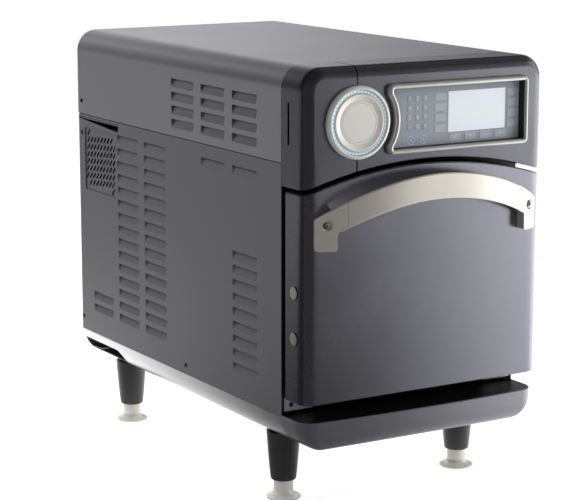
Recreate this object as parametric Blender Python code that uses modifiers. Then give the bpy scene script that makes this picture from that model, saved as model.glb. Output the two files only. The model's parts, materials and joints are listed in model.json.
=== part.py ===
"""A countertop speed oven with a drop-down door, built as its separate pieces.

X runs to the right, Y to the back and Z up, in metres. The origin is on the floor, in the middle of
the footprint. The door faces -Y.
"""

import math

import bmesh
import bpy
from mathutils import Matrix, Vector

# Whole oven
BODY_WIDTH = 0.403
OVERALL_HEIGHT = 0.640
PANEL_DEPTH = 0.648
FRONT_THICKNESS = 0.062
HANDLE_REACH = 0.036
REAR_REACH = 0.008
LEG_HEIGHT = 0.1016
BASE_HEIGHT = 0.0424
COVER_HEIGHT = 0.1345
GAP = 0.0003
SHEET = 0.0015
OVERRUN = 0.010

# Cover, base and side panels
COVER_CORNER_RADIUS = 0.033
BASE_EDGE_RADIUS = 0.042
COVER_PANEL_SEAM = 0.0012
REAR_FLANGE = 0.012
HANDHOLD_REAR_RIM = 0.010
HANDHOLD_HEIGHT = 0.0294
HANDHOLD_REACH = 0.026
HANDHOLD_CORNER_RADIUS = 0.020

# Louvres, pressed inward and open along their top edge
LOUVRE_HEIGHT = 0.013
LOUVRE_DEPTH = 0.0045
LOUVRE_SLIT = 0.0012
COVER_LOUVRE_PITCH = 0.0203
COVER_LOUVRE_TOP = 0.0477
COVER_LOUVRE_ROWS = 4
PANEL_LOUVRE_PITCH = 0.0207
PANEL_LOUVRE_TOP = 0.0208
PANEL_LOUVRE_FOOT = 0.0250

# Fan grille in the left panel
GRILLE_HEIGHT = 0.1016
GRILLE_DROP = 0.0215
GRILLE_SHEET = 0.001
GRILLE_RIM = 0.005
SLOT_LENGTH = 0.0150
SLOT_WIDTH = 0.0044
SLOT_PITCH = 0.0180
SLOT_ROW_PITCH = 0.0077
INTAKE_REAR_SETBACK = 0.0030
INTAKE_FRONT_HEIGHT = 0.0125
INTAKE_REAR_HEIGHT = 0.0035
INTAKE_DROP = 0.0035

# Legs and feet
LEG_SIDE_INSET = 0.047
LEG_FRONT_SETBACK = 0.072
LEG_REAR_SETBACK = 0.086
LEG_TOP_RADIUS = 0.0250
LEG_BOTTOM_RADIUS = 0.0187
LEG_BOTTOM_Z = 0.0280
LEG_EDGE = 0.0020
FOOT_FLANGE_RADIUS = 0.0255
FOOT_FLANGE_EDGE = 0.0020
FOOT_FLANGE_HEIGHT = 0.0065
FOOT_NECK_RADIUS = 0.0142
FOOT_NECK_TOP = 0.0440
FOOT_STUD_RADIUS = 0.0060
FOOT_STUD_TOP = 0.0780
FOOT_BORE_SPARE = 0.0165

# Front frame and cooking chamber
FRAME_SHEET = 0.0020
FRAME_BOTTOM_RISE = 0.0075
CHAMBER_SIDE_CLEARANCE = 0.0425
CHAMBER_DEPTH = 0.267
CHAMBER_FLOOR_RISE = 0.068
CHAMBER_ROOF_DROP = 0.0825
CHAMBER_SHEET = 0.0015
INSULATION = 0.020
RACK_ROD_RADIUS = 0.0022
RACK_ROD_SINK = 0.0010
RACK_RODS = 11
RACK_END_INSET = 0.012
JETPLATE_SHEET = 0.0015
JET_HOLE_RADIUS = 0.0075
JET_COLUMNS = 5
JET_ROWS = 4

# Air, microwave and power parts
BLOWER_HOUSING_DEPTH = 0.060
BLOWER_BORE_RADIUS = 0.062
BLOWER_SIDE_MARGIN = 0.015
BLOWER_END_MARGIN = 0.008
BLOWER_OFFSET_X = 0.068
WHEEL_RADIUS = 0.056
WHEEL_WIDTH = 0.036
WHEEL_BACK = 0.003
WHEEL_BLADES = 12
WHEEL_BLADE = 0.0030
WHEEL_HUB_RADIUS = 0.014
WHEEL_BLADE_ROOT = 0.034
SHAFT_RADIUS = 0.0050
SHAFT_IN_MOTOR = 0.030
MOTOR_FLANGE_RADIUS = 0.066
MOTOR_FLANGE = 0.004
MOTOR_RADIUS = 0.045
MOTOR_LENGTH = 0.095
MOTOR_EDGE = 0.006
WAVEGUIDE_WIDTH = 0.090
WAVEGUIDE_REAR_SETBACK = 0.0088
WAVEGUIDE_HEIGHT = 0.034
WAVEGUIDE_FRONT_SETBACK = 0.080
STIRRER_RADIUS = 0.070
STIRRER_BLADE_WIDTH = 0.022
STIRRER_SHEET = 0.0020
STIRRER_SHAFT_RADIUS = 0.0040
STIRRER_SHAFT_RISE = 0.028
MAGNETRON_WIDTH = 0.080
MAGNETRON_LENGTH = 0.070
MAGNETRON_HEIGHT = 0.060
MAGNETRON_FIN = 0.0030
MAGNETRON_FINS = 6
MAGNETRON_YOKE = 0.010
SHELF_FRONT_SETBACK = 0.290
SHELF_RISE = 0.0065
SHELF_FLANGE = 0.014
TRANSFORMER_LENGTH = 0.110
TRANSFORMER_WIDTH = 0.080
TRANSFORMER_HEIGHT = 0.090
TRANSFORMER_COIL_LENGTH = 0.064
TRANSFORMER_COIL_STAND = 0.016
TRANSFORMER_SETBACK = 0.479
CAPACITOR_RADIUS = 0.024
CAPACITOR_HEIGHT = 0.090
CAPACITOR_TERMINAL = 0.006
CAPACITOR_SETBACK = 0.439
FAN_FRAME_MARGIN = 0.001
FAN_FRAME_DEPTH = 0.038
FAN_TIP_CLEARANCE = 0.0035
FAN_STRUT = 0.007
FAN_STRUT_DEPTH = 0.005
FAN_CUP_RADIUS = 0.018
FAN_HUB_RADIUS = 0.0165
FAN_BLADES = 7
FAN_BLADE_DEPTH = 0.022
FAN_BLADE_THICKNESS = 0.0025
FAN_BLADE_PITCH = 32.0
FAN_AXLE_RADIUS = 0.0030
BACK_VENT_WIDTH = 0.070
BACK_VENT_HEIGHT = 0.006
BACK_VENT_PITCH = 0.015
BACK_VENT_ROWS = 8
BACK_VENT_DROP = 0.0855
GLAND_RISE = 0.061
GLAND_RADIUS = 0.0150
GLAND_NUT_RADIUS = 0.0210
GLAND_NUT = 0.0060
GLAND_BORE_RADIUS = 0.0075

# Fascia, badge and controls
EDGE_RADIUS = 0.016
FRONT_WALL = 0.003
FASCIA_SEAM = 0.0006
FASCIA_SPLIT = 0.0020
ARCH_RADIUS = 0.660
FASCIA_APEX_DROP = 0.0007
BADGE_INSET = 0.084
BADGE_DROP = 0.0775
BADGE_RADIUS = 0.051
BADGE_RIM = 0.006
BADGE_HEIGHT = 0.0080
LIGHT_RING = 0.0046
LIGHT_HEIGHT = 0.0055
BADGE_DISH = 0.0025
BEZEL_CLEARANCE = 0.0084
BEZEL_INSET = 0.032
BEZEL_RISE = 0.0500
BEZEL_FALL = 0.0480
BEZEL_LEFT_OFFSET = 0.0480
BEZEL_CORNER_RADIUS = 0.0080
BEZEL_INNER_CORNER = 0.0015
BEZEL_RIM = 0.0070
BEZEL_HEIGHT = 0.0085
BEZEL_SKIRT = 0.0015
OVERLAY_SETBACK = 0.0065
OVERLAY_SHEET = 0.0030
KEY_RISE = 0.0005
KEY_ROOT = 0.0003
LCD_HEIGHT = 0.058
LCD_RISE = 0.0040
SOFT_KEY_HEIGHT = 0.0115
SOFT_KEY_PITCH = 0.0149
BOTTOM_KEY_FALL = 0.0323
BOTTOM_KEY_SHIFT = 0.0020
NUMBER_KEY_HEIGHT = 0.0095
NUMBER_KEY_ROW_PITCH = 0.0131
NUMBER_KEY_RISE = 0.0023
CARD_SLOT_HEIGHT = 0.058
CARD_SLOT_WIDTH = 0.0050
CARD_SLOT_SETBACK = 0.0190
CARD_SLOT_FALL = 0.0010
BOARD_SHEET = 0.0016
BOARD_OVERLAP = 0.012

# Door
DOOR_DEPTH = 0.050
DOOR_BOTTOM_RISE = 0.028
DOOR_TOP_GAP = 0.0065
HINGE_SETBACK = 0.030
HINGE_RISE = 0.009
HINGE_PLATE = 0.003
HINGE_PLATE_INSET = 0.0045
HINGE_ARM_RADIUS = 0.0062
HINGE_PIN_RADIUS = 0.0040
HINGE_KNUCKLE_WIDTH = 0.0090
HINGE_KNUCKLE_HEIGHT = 0.0135
HINGE_KNUCKLE_LENGTH = 0.0150
HINGE_SLOT_CLEARANCE = 0.0010
PAN_DEPTH = 0.014
PAN_REAR_STAND = 0.003
PAN_SHEET = 0.0020
PAN_TOP_DROP = 0.0345
PAN_FOOT_INSET = 0.0090
PAN_FOOT_HEIGHT = 0.014
PAN_SHOULDER_SLOPE = 0.001
PAN_FLOOR_RISE = 0.010
SEAL_OUTSET = 0.019
SEAL_WIDTH = 0.012
CHOKE_INSET = 0.009
CHOKE_DEPTH = 0.004
PLUG_RADIUS = 0.0093
PLUG_STEM_RADIUS = 0.0060
PLUG_HEAD = 0.0012
PLUG_SETBACK = 0.0265

# Handle, arched in front view and bowed in plan
HANDLE_END_INSET = 0.0145
HANDLE_SEAM_INSET = 0.0425
HANDLE_FOOT_WIDTH = 0.0284
HANDLE_END_REACH = 0.003
HANDLE_ARCH_RADIUS = 0.356
HANDLE_TOP_DROP = 0.0103
HANDLE_WIDTH = 0.036
HANDLE_THICKNESS = 0.006
HANDLE_DROP = 0.098
HANDLE_SCREW_INSET = 0.015
HANDLE_SCREW_DROP = 0.062
HANDLE_SCREW_RADIUS = 0.0055
HANDLE_SCREW_DEPTH = 0.003

# Crumb tray under the door
TRAY_TOP_RISE = 0.0025
TRAY_CORNER_RADIUS = 0.026
TRAY_FRONT_EDGE_RADIUS = 0.024
TRAY_BOW = 0.008
TRAY_BOW_FORWARD = 0.005
TRAY_PAN_LENGTH = 0.180
TRAY_PAN_INSET = 0.0465
TRAY_PAN_HEIGHT = 0.032
TRAY_PAN_SHEET = 0.0015
TRAY_PAN_CORNER_RADIUS = 0.012

# Shares and counts
HANDLE_BOW_POWER_SHARE = 3.3
HANDHOLD_LENGTH_SHARE = 0.2053
LOUVRE_WIDTH_SHARE = 0.1096
LOUVRE_FIRST_SHARE = 0.1011
LOUVRE_PITCH_SHARE = 0.14275
GRILLE_WIDTH_SHARE = 0.1713
GRILLE_REAR_SHARE = 0.0355
INTAKE_LENGTH_SHARE = 0.2191
RACK_RISE_SHARE = 0.2732
JETPLATE_INSET_SHARE = 0.1202
STIRRER_DROP_SHARE = 0.0437
BLOWER_OFFSET_SHARE = 0.3279
FAN_BORE_SHARE = 0.4554
BACK_VENT_PLACE_SHARE = 0.4715
GLAND_PLACE_SHARE = 0.5955
TRANSFORMER_PLACE_SHARE = 0.4715
CAPACITOR_PLACE_SHARE = 0.3970
UPPER_PLUG_SHARE = 0.4815
LOWER_PLUG_SHARE = 0.2821
LCD_WIDTH_SHARE = 0.4151
LCD_PLACE_SHARE = 0.3397
SOFT_KEY_WIDTH_SHARE = 0.0818
SOFT_KEY_OFFSET_SHARE = 0.2640
BOTTOM_KEY_PITCH_SHARE = 0.1107
NUMBER_KEY_WIDTH_SHARE = 0.0398
NUMBER_KEY_PITCH_SHARE = 0.0546
NUMBER_KEY_PLACE_SHARE = 0.2339
ROUND_KEY_RADIUS_SHARE = 0.0280
ROUND_KEY_SPACING_SHARE = 0.0891
BADGE_FLANK_SHARE = 0.35
BEZEL_FLANK_SHARE = 0.45
BEZEL_DROP_SHARE = 0.25
CORNER_STEPS = 6
BIG_CORNER_STEPS = 8
EDGE_STEPS = 4
ARCH_STEPS = 18
HANDLE_STEPS = 20
TURN_STEPS = 18
BORE_STEPS = 12
SMALL_STEPS = 8

# Levels and planes that several pieces share
HALF_WIDTH = BODY_WIDTH / 2
OVERALL_DEPTH = HANDLE_REACH + FRONT_THICKNESS + PANEL_DEPTH + REAR_REACH
FACE_Y = HANDLE_REACH - OVERALL_DEPTH / 2
PANEL_FRONT_Y = FACE_Y + FRONT_THICKNESS
PANEL_REAR_Y = PANEL_FRONT_Y + PANEL_DEPTH
BASE_BOTTOM_Z = LEG_HEIGHT
PANEL_BOTTOM_Z = BASE_BOTTOM_Z + BASE_HEIGHT
COVER_BOTTOM_Z = OVERALL_HEIGHT - COVER_HEIGHT
PANEL_TOP_Z = COVER_BOTTOM_Z - COVER_PANEL_SEAM
FASCIA_APEX_Z = COVER_BOTTOM_Z - FASCIA_APEX_DROP
DOOR_BOTTOM_Z = PANEL_BOTTOM_Z + DOOR_BOTTOM_RISE
DOOR_APEX_Z = FASCIA_APEX_Z - DOOR_TOP_GAP
DOOR_HEIGHT = DOOR_APEX_Z - DOOR_BOTTOM_Z
UPPER_PLUG_Z = DOOR_BOTTOM_Z + DOOR_HEIGHT * UPPER_PLUG_SHARE
LOWER_PLUG_Z = DOOR_BOTTOM_Z + DOOR_HEIGHT * LOWER_PLUG_SHARE
PAN_TOP_Z = DOOR_APEX_Z - PAN_TOP_DROP
CHAMBER_WIDTH = BODY_WIDTH - 2 * CHAMBER_SIDE_CLEARANCE
CHAMBER_FLOOR_Z = DOOR_BOTTOM_Z + CHAMBER_FLOOR_RISE
CHAMBER_ROOF_Z = COVER_BOTTOM_Z - CHAMBER_ROOF_DROP
CHAMBER_HEIGHT = CHAMBER_ROOF_Z - CHAMBER_FLOOR_Z
RACK_Z = CHAMBER_FLOOR_Z + CHAMBER_HEIGHT * RACK_RISE_SHARE
LOWER_JETPLATE_Z = CHAMBER_FLOOR_Z + CHAMBER_HEIGHT * JETPLATE_INSET_SHARE
UPPER_JETPLATE_Z = CHAMBER_ROOF_Z - CHAMBER_HEIGHT * JETPLATE_INSET_SHARE
FRAME_FRONT_Y = PANEL_FRONT_Y + GAP
FRAME_REAR_Y = FRAME_FRONT_Y + FRAME_SHEET
INNER_HALF_WIDTH = HALF_WIDTH - SHEET - GAP
CHAMBER_FRONT_Y = FRAME_REAR_Y + GAP
CHAMBER_BACK_Y = CHAMBER_FRONT_Y + CHAMBER_DEPTH + CHAMBER_SHEET
INSULATION_TOP_Z = CHAMBER_ROOF_Z + CHAMBER_SHEET + GAP + INSULATION
INSULATION_BACK_Y = CHAMBER_BACK_Y + GAP + INSULATION
WAVEGUIDE_FRONT_Y = CHAMBER_FRONT_Y + WAVEGUIDE_FRONT_SETBACK
WAVEGUIDE_REAR_Y = INSULATION_BACK_Y - WAVEGUIDE_REAR_SETBACK
BLOWER_FRONT_Y = INSULATION_BACK_Y + GAP
BLOWER_BACK_Y = BLOWER_FRONT_Y + BLOWER_HOUSING_DEPTH
BLOWER_Z = CHAMBER_FLOOR_Z + CHAMBER_HEIGHT / 2
BLOWER_OFFSET_Z = CHAMBER_HEIGHT * BLOWER_OFFSET_SHARE
BLOWER_HOUSING_WIDTH = 2 * (BLOWER_OFFSET_X + BLOWER_BORE_RADIUS + BLOWER_SIDE_MARGIN)
BLOWER_HOUSING_HEIGHT = 2 * (BLOWER_OFFSET_Z + BLOWER_BORE_RADIUS + BLOWER_END_MARGIN)
STIRRER_Y = CHAMBER_FRONT_Y + CHAMBER_DEPTH / 2
STIRRER_Z = CHAMBER_ROOF_Z - CHAMBER_HEIGHT * STIRRER_DROP_SHARE
SHELF_Z = COVER_BOTTOM_Z + SHELF_RISE
FASCIA_REAR_Y = PANEL_FRONT_Y - FASCIA_SEAM
DOOR_REAR_Y = FACE_Y + DOOR_DEPTH
HINGE_Y = FACE_Y + HINGE_SETBACK
HINGE_Z = DOOR_BOTTOM_Z + HINGE_RISE
PAN_REAR_Y = DOOR_REAR_Y + PAN_REAR_STAND
TRAY_TOP_Z = PANEL_BOTTOM_Z + TRAY_TOP_RISE
TRAY_REAR_Y = PANEL_FRONT_Y - GAP
LOUVRE_WIDTH = PANEL_DEPTH * LOUVRE_WIDTH_SHARE
LOUVRE_COLUMN_PITCH = PANEL_DEPTH * LOUVRE_PITCH_SHARE
LOUVRE_FIRST_COLUMN = PANEL_DEPTH * LOUVRE_FIRST_SHARE
PANEL_LOUVRE_TOP_Z = COVER_BOTTOM_Z - PANEL_LOUVRE_TOP
PANEL_LOUVRE_ROOM = PANEL_LOUVRE_TOP_Z - LOUVRE_HEIGHT - PANEL_LOUVRE_FOOT - PANEL_BOTTOM_Z
PANEL_LOUVRE_ROWS = 1 + int(PANEL_LOUVRE_ROOM / PANEL_LOUVRE_PITCH)
GRILLE_WIDTH = PANEL_DEPTH * GRILLE_WIDTH_SHARE
GRILLE_FRONT_Y = PANEL_REAR_Y - PANEL_DEPTH * GRILLE_REAR_SHARE - GRILLE_WIDTH
INTAKE_LENGTH = PANEL_DEPTH * INTAKE_LENGTH_SHARE
FAN_FRAME_SIZE = GRILLE_WIDTH + FAN_FRAME_MARGIN
FAN_BORE_RADIUS = FAN_FRAME_SIZE * FAN_BORE_SHARE
FAN_BLADE_RADIUS = FAN_BORE_RADIUS - FAN_TIP_CLEARANCE
BACK_VENT_Z = COVER_BOTTOM_Z - BACK_VENT_DROP
BACK_VENT_X = HALF_WIDTH * BACK_VENT_PLACE_SHARE
GLAND_X = -HALF_WIDTH * GLAND_PLACE_SHARE
GLAND_Z = PANEL_BOTTOM_Z + GLAND_RISE
BADGE_X = BADGE_INSET - HALF_WIDTH
BADGE_Z = OVERALL_HEIGHT - BADGE_DROP
BEZEL_RIGHT_X = HALF_WIDTH - BEZEL_INSET
BEZEL_LEFT_X = BADGE_X + BEZEL_LEFT_OFFSET
BEZEL_TOP_Z = BADGE_Z + BEZEL_RISE
BEZEL_BOTTOM_Z = BADGE_Z - BEZEL_FALL
CONTROL_WIDTH = BEZEL_RIGHT_X - BEZEL_LEFT_X
LCD_WIDTH = CONTROL_WIDTH * LCD_WIDTH_SHARE
LCD_X = BEZEL_RIGHT_X - CONTROL_WIDTH * LCD_PLACE_SHARE
LCD_Z = BADGE_Z + LCD_RISE
LCD_TOP_KEY_Z = LCD_Z + SOFT_KEY_PITCH * 3 / 2
SOFT_KEY_WIDTH = CONTROL_WIDTH * SOFT_KEY_WIDTH_SHARE
SOFT_KEY_OFFSET = CONTROL_WIDTH * SOFT_KEY_OFFSET_SHARE
BOTTOM_KEY_PITCH = CONTROL_WIDTH * BOTTOM_KEY_PITCH_SHARE
BOTTOM_KEY_Z = BADGE_Z - BOTTOM_KEY_FALL
NUMBER_KEY_WIDTH = CONTROL_WIDTH * NUMBER_KEY_WIDTH_SHARE
NUMBER_KEY_PITCH = CONTROL_WIDTH * NUMBER_KEY_PITCH_SHARE
NUMBER_KEY_X = BEZEL_LEFT_X + CONTROL_WIDTH * NUMBER_KEY_PLACE_SHARE
NUMBER_KEY_Z = LCD_Z + NUMBER_KEY_RISE
ROUND_KEY_RADIUS = CONTROL_WIDTH * ROUND_KEY_RADIUS_SHARE
ROUND_KEY_SPACING = CONTROL_WIDTH * ROUND_KEY_SPACING_SHARE
CARD_SLOT_Z = BADGE_Z - CARD_SLOT_FALL
HANDLE_HALF_LENGTH = HALF_WIDTH - HANDLE_END_INSET
HANDLE_SEAM_X = HANDLE_HALF_LENGTH - HANDLE_SEAM_INSET
HANDLE_FOOT_X = HANDLE_HALF_LENGTH - HANDLE_FOOT_WIDTH
HANDLE_TOP_Z = DOOR_APEX_Z - HANDLE_TOP_DROP
HANDLE_FOOT_Z = HANDLE_TOP_Z - HANDLE_DROP
HANDLE_SCREW_X = HANDLE_HALF_LENGTH - HANDLE_SCREW_INSET
HANDLE_SCREW_Z = HANDLE_TOP_Z - HANDLE_SCREW_DROP
TRAY_PAN_WIDTH = BODY_WIDTH - 2 * TRAY_PAN_INSET

# Which louvre rows each column has, counted from the top; columns run from the front to the back
COVER_COLUMNS = {0: range(COVER_LOUVRE_ROWS), 1: range(COVER_LOUVRE_ROWS), 2: range(COVER_LOUVRE_ROWS)}
PANEL_COLUMNS = {
    0: [0, *range(6, PANEL_LOUVRE_ROWS)],
    1: [0],
    3: range(PANEL_LOUVRE_ROWS),
    4: range(PANEL_LOUVRE_ROWS),
    5: [PANEL_LOUVRE_ROWS - 2, PANEL_LOUVRE_ROWS - 1],
}

# Colour, roughness and metallic value of each finish
FINISHES = {
    "charcoal_paint": ((0.085, 0.085, 0.095), 0.38, 0.55),
    "black_paint": ((0.012, 0.012, 0.013), 0.25, 0.0),
    "stainless": ((0.62, 0.61, 0.59), 0.28, 1.0),
    "nickel": ((0.62, 0.57, 0.49), 0.30, 1.0),
    "black_plastic": ((0.020, 0.020, 0.021), 0.45, 0.0),
    "light_plastic": ((0.35, 0.85, 0.92), 0.30, 0.0),
    "overlay": ((0.22, 0.25, 0.29), 0.40, 0.0),
    "screen": ((0.72, 0.76, 0.80), 0.15, 0.0),
    "circuit": ((0.05, 0.24, 0.11), 0.55, 0.0),
    "silicone": ((0.10, 0.10, 0.10), 0.70, 0.0),
    "mineral_wool": ((0.70, 0.66, 0.52), 0.95, 0.0),
    "galvanised": ((0.52, 0.54, 0.56), 0.45, 1.0),
    "copper": ((0.72, 0.36, 0.20), 0.40, 1.0),
    "cast_motor": ((0.20, 0.21, 0.22), 0.50, 0.8),
}


def clear_scene():
    """Remove every object that the file starts with."""
    for leftover in list(bpy.data.objects):
        bpy.data.objects.remove(leftover)


def new_collection(name):
    collection = bpy.data.collections.new(name)
    bpy.context.scene.collection.children.link(collection)
    return collection


def finish_material(name):
    """The Principled material of a finish, made the first time that it is asked for."""
    material = bpy.data.materials.get(name)
    if material is None:
        colour, roughness, metallic = FINISHES[name]
        material = bpy.data.materials.new(name)
        material.use_nodes = True
        shader = material.node_tree.nodes["Principled BSDF"]
        shader.inputs["Base Color"].default_value = (*colour, 1.0)
        shader.inputs["Roughness"].default_value = roughness
        shader.inputs["Metallic"].default_value = metallic
    return material


# Outlines

def arc(centre, radius, start, end, steps):
    """Points on an arc from one angle to another, in degrees, both ends included."""
    turns = [math.radians(start + (end - start) * step / steps) for step in range(steps + 1)]
    return [(centre[0] + radius * math.cos(turn), centre[1] + radius * math.sin(turn)) for turn in turns]


def circle(centre, radius, steps):
    return arc(centre, radius, 0, 360, steps)[:-1]


def rectangle(low, high):
    return [low, (high[0], low[1]), high, (low[0], high[1])]


def rounded(corners, radii, steps):
    """A closed outline with each corner turned into an arc of its radius; zero keeps it sharp."""
    outline = []
    for index, corner_point in enumerate(corners):
        corner = Vector(corner_point)
        if radii[index] == 0:
            outline.append(tuple(corner))
            continue
        back = (Vector(corners[index - 1]) - corner).normalized()
        ahead = (Vector(corners[(index + 1) % len(corners)]) - corner).normalized()
        half_angle = back.angle(ahead) / 2
        centre = corner + (back + ahead).normalized() * radii[index] / math.sin(half_angle)
        first = corner + back * radii[index] / math.tan(half_angle) - centre
        last = corner + ahead * radii[index] / math.tan(half_angle) - centre
        start = math.degrees(math.atan2(first.y, first.x))
        turn = math.degrees(math.atan2(last.y, last.x)) - start
        turn = (turn + 180) % 360 - 180
        outline += arc(tuple(centre), radii[index], start, start + turn, steps)
    return outline


def moved_sideways(points, distance, closed=False):
    """A path moved to its left by a distance, with mitred corners."""
    moved = []
    last = len(points) - 1
    for index, point in enumerate(points):
        here = Vector(point)
        normals = []
        if closed or index > 0:
            step = (here - Vector(points[index - 1])).normalized()
            normals.append(Vector((-step.y, step.x)))
        if closed or index < last:
            step = (Vector(points[(index + 1) % len(points)]) - here).normalized()
            normals.append(Vector((-step.y, step.x)))
        mitre = sum(normals, Vector((0, 0))).normalized()
        moved.append(tuple(here + mitre * distance / mitre.dot(normals[0])))
    return moved


def strip(points, thickness):
    """The closed outline of a bent sheet whose other face lies to the left of the path."""
    return points + moved_sideways(points, thickness)[::-1]


def arch_height(x, apex):
    """Height of the arch between the fascia and the door at a distance from the middle."""
    return apex - (ARCH_RADIUS - math.sqrt(ARCH_RADIUS ** 2 - x ** 2))


def arch_points(half_width, apex):
    """The arch from left to right."""
    places = [half_width * (2 * step / ARCH_STEPS - 1) for step in range(ARCH_STEPS + 1)]
    return [(x, arch_height(x, apex)) for x in places]


# Solids

PLANES = {
    "plan": Matrix.Identity(4),
    "front": Matrix.Rotation(math.radians(90), 4, "X"),
    "side": Matrix(((0, 0, 1, 0), (1, 0, 0, 0), (0, 1, 0, 0), (0, 0, 0, 1))),
}
PLANE_NORMALS = {"plan": Vector((0, 0, 1)), "front": Vector((0, 1, 0)), "side": Vector((1, 0, 0))}


def clean_mesh(mesh, flat_caps):
    """Weld a curve's loose caps, and make each flat cap without holes one face."""
    work = bmesh.new()
    work.from_mesh(mesh)
    bmesh.ops.remove_doubles(work, verts=work.verts, dist=GAP / 100)
    if flat_caps:
        bmesh.ops.dissolve_limit(work, angle_limit=math.radians(0.05), verts=[], edges=work.edges)
    bmesh.ops.recalc_face_normals(work, faces=work.faces)
    work.to_mesh(mesh)
    work.free()


def prism_mesh(name, loops, low, high, plane):
    """Outlines drawn in a plane and extruded across it from one level to another; inner loops are holes."""
    curve = bpy.data.curves.new(name, "CURVE")
    curve.dimensions = "2D"
    curve.fill_mode = "BOTH"
    curve.extrude = (high - low) / 2
    for loop in loops:
        spline = curve.splines.new("POLY")
        spline.points.add(len(loop) - 1)
        for point, place in zip(spline.points, loop):
            point.co = (*place, 0, 1)
        spline.use_cyclic_u = True
    holder = bpy.data.objects.new(name, curve)
    TOOLS.objects.link(holder)
    depsgraph = bpy.context.evaluated_depsgraph_get()
    mesh = bpy.data.meshes.new_from_object(holder.evaluated_get(depsgraph))
    bpy.data.objects.remove(holder)
    clean_mesh(mesh, flat_caps=len(loops) == 1)
    mesh.transform(Matrix.Translation(PLANE_NORMALS[plane] * (low + high) / 2) @ PLANES[plane])
    mesh.name = name
    return mesh


def box_mesh(name, low, high):
    """A box between its lowest and its highest corner."""
    work = bmesh.new()
    size = [top - bottom for bottom, top in zip(low, high)]
    middle = [(top + bottom) / 2 for bottom, top in zip(low, high)]
    placing = Matrix.Translation(middle) @ Matrix.Diagonal((*size, 1))
    bmesh.ops.create_cube(work, size=1, matrix=placing)
    mesh = bpy.data.meshes.new(name)
    work.to_mesh(mesh)
    work.free()
    return mesh


def rod_mesh(name, start, end, radius, steps):
    """A straight round rod between two points."""
    work = bmesh.new()
    axis = Vector(end) - Vector(start)
    turn = Vector((0, 0, 1)).rotation_difference(axis).to_matrix().to_4x4()
    placing = Matrix.Translation((Vector(start) + Vector(end)) / 2) @ turn
    bmesh.ops.create_cone(work, cap_ends=True, segments=steps, radius1=radius, radius2=radius,
                          depth=axis.length, matrix=placing)
    mesh = bpy.data.meshes.new(name)
    work.to_mesh(mesh)
    work.free()
    return mesh


def part(name, mesh, finish, origin=(0, 0, 0), parent=None):
    """A named piece with its origin at a given place, such as its joint's axis."""
    mesh.transform(Matrix.Translation(-Vector(origin)))
    mesh.materials.append(finish_material(finish))
    piece = bpy.data.objects.new(name, mesh)
    PARTS.objects.link(piece)
    place(piece, origin, parent)
    return piece


def place(piece, origin, parent):
    piece.location = origin
    if parent is not None:
        piece.parent = parent
        piece.location = Vector(origin) - parent.location


def tool(mesh):
    """A guide that cuts or joins other pieces, kept out of the model."""
    guide = bpy.data.objects.new(mesh.name + "_guide", mesh)
    guide.hide_render = True
    guide.display_type = "WIRE"
    TOOLS.objects.link(guide)
    return guide


def combine(piece, operation, *guides):
    for guide in guides:
        modifier = piece.modifiers.new(guide.name, "BOOLEAN")
        modifier.operation = operation
        modifier.solver = "EXACT"
        modifier.object = guide


def cut(piece, *guides):
    combine(piece, "DIFFERENCE", *guides)


def join(piece, *guides):
    combine(piece, "UNION", *guides)


def keep_common(piece, *guides):
    combine(piece, "INTERSECT", *guides)


def merged(name, meshes):
    """Several separate solids in one mesh."""
    work = bmesh.new()
    for mesh in meshes:
        work.from_mesh(mesh)
    result = bpy.data.meshes.new(name)
    work.to_mesh(result)
    work.free()
    return result


def turned_mesh(name, profile, steps, closed=False):
    """A (radius, height) profile, running down its outer side, turned about Z by a Screw modifier."""
    work = bmesh.new()
    corners = [work.verts.new((radius, 0, height)) for radius, height in profile]
    for first, second in zip(corners, corners[1:]):
        work.edges.new((first, second))
    if closed:
        work.edges.new((corners[-1], corners[0]))
    outline = bpy.data.meshes.new(name)
    work.to_mesh(outline)
    work.free()
    holder = bpy.data.objects.new(name, outline)
    TOOLS.objects.link(holder)
    screw = holder.modifiers.new("turn", "SCREW")
    screw.steps = steps
    screw.render_steps = steps
    screw.use_merge_vertices = True
    screw.merge_threshold = GAP / 100
    depsgraph = bpy.context.evaluated_depsgraph_get()
    mesh = bpy.data.meshes.new_from_object(holder.evaluated_get(depsgraph))
    bpy.data.objects.remove(holder)
    clean_mesh(mesh, flat_caps=False)
    mesh.name = name
    return mesh


def lofted_ring(name, rings):
    """A closed skin bridged over outlines of equal count; the last outline joins the first."""
    work = bmesh.new()
    loops = []
    for ring in rings:
        corners = [work.verts.new(point) for point in ring]
        loops.append([work.edges.new(pair) for pair in zip(corners, corners[1:] + corners[:1])])
    for loop, after in zip(loops, loops[1:] + loops[:1]):
        bmesh.ops.bridge_loops(work, edges=loop + after)
    bmesh.ops.recalc_face_normals(work, faces=work.faces)
    mesh = bpy.data.meshes.new(name)
    work.to_mesh(mesh)
    work.free()
    return mesh


def turned_to(mesh, axis, centre):
    """Lay a turned mesh along another axis: its height then runs along that axis."""
    turn = Vector((0, 0, 1)).rotation_difference(Vector(axis)).to_matrix().to_4x4()
    mesh.transform(Matrix.Translation(centre) @ turn)
    return mesh


def smooth(piece, degrees=35):
    piece.data.shade_smooth()
    piece.data.set_sharp_from_angle(angle=math.radians(degrees))


def rounded_front(mesh, picks):
    """Mark the edges of a front piece that a Bevel modifier rounds."""
    work = bmesh.new()
    work.from_mesh(mesh)
    weights = work.edges.layers.float.new("bevel_weight_edge")
    for edge in work.edges:
        edge[weights] = 1.0 if picks(*[corner.co for corner in edge.verts]) else 0.0
    work.to_mesh(mesh)
    work.free()


def add_bevel(piece, width, steps):
    bevel = piece.modifiers.new("edge", "BEVEL")
    bevel.limit_method = "WEIGHT"
    bevel.width = width
    bevel.segments = steps


# Louvres

def column_span(column):
    """Front and rear edge of a louvre column."""
    front = PANEL_FRONT_Y + LOUVRE_FIRST_COLUMN + column * LOUVRE_COLUMN_PITCH
    return front, front + LOUVRE_WIDTH


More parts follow.
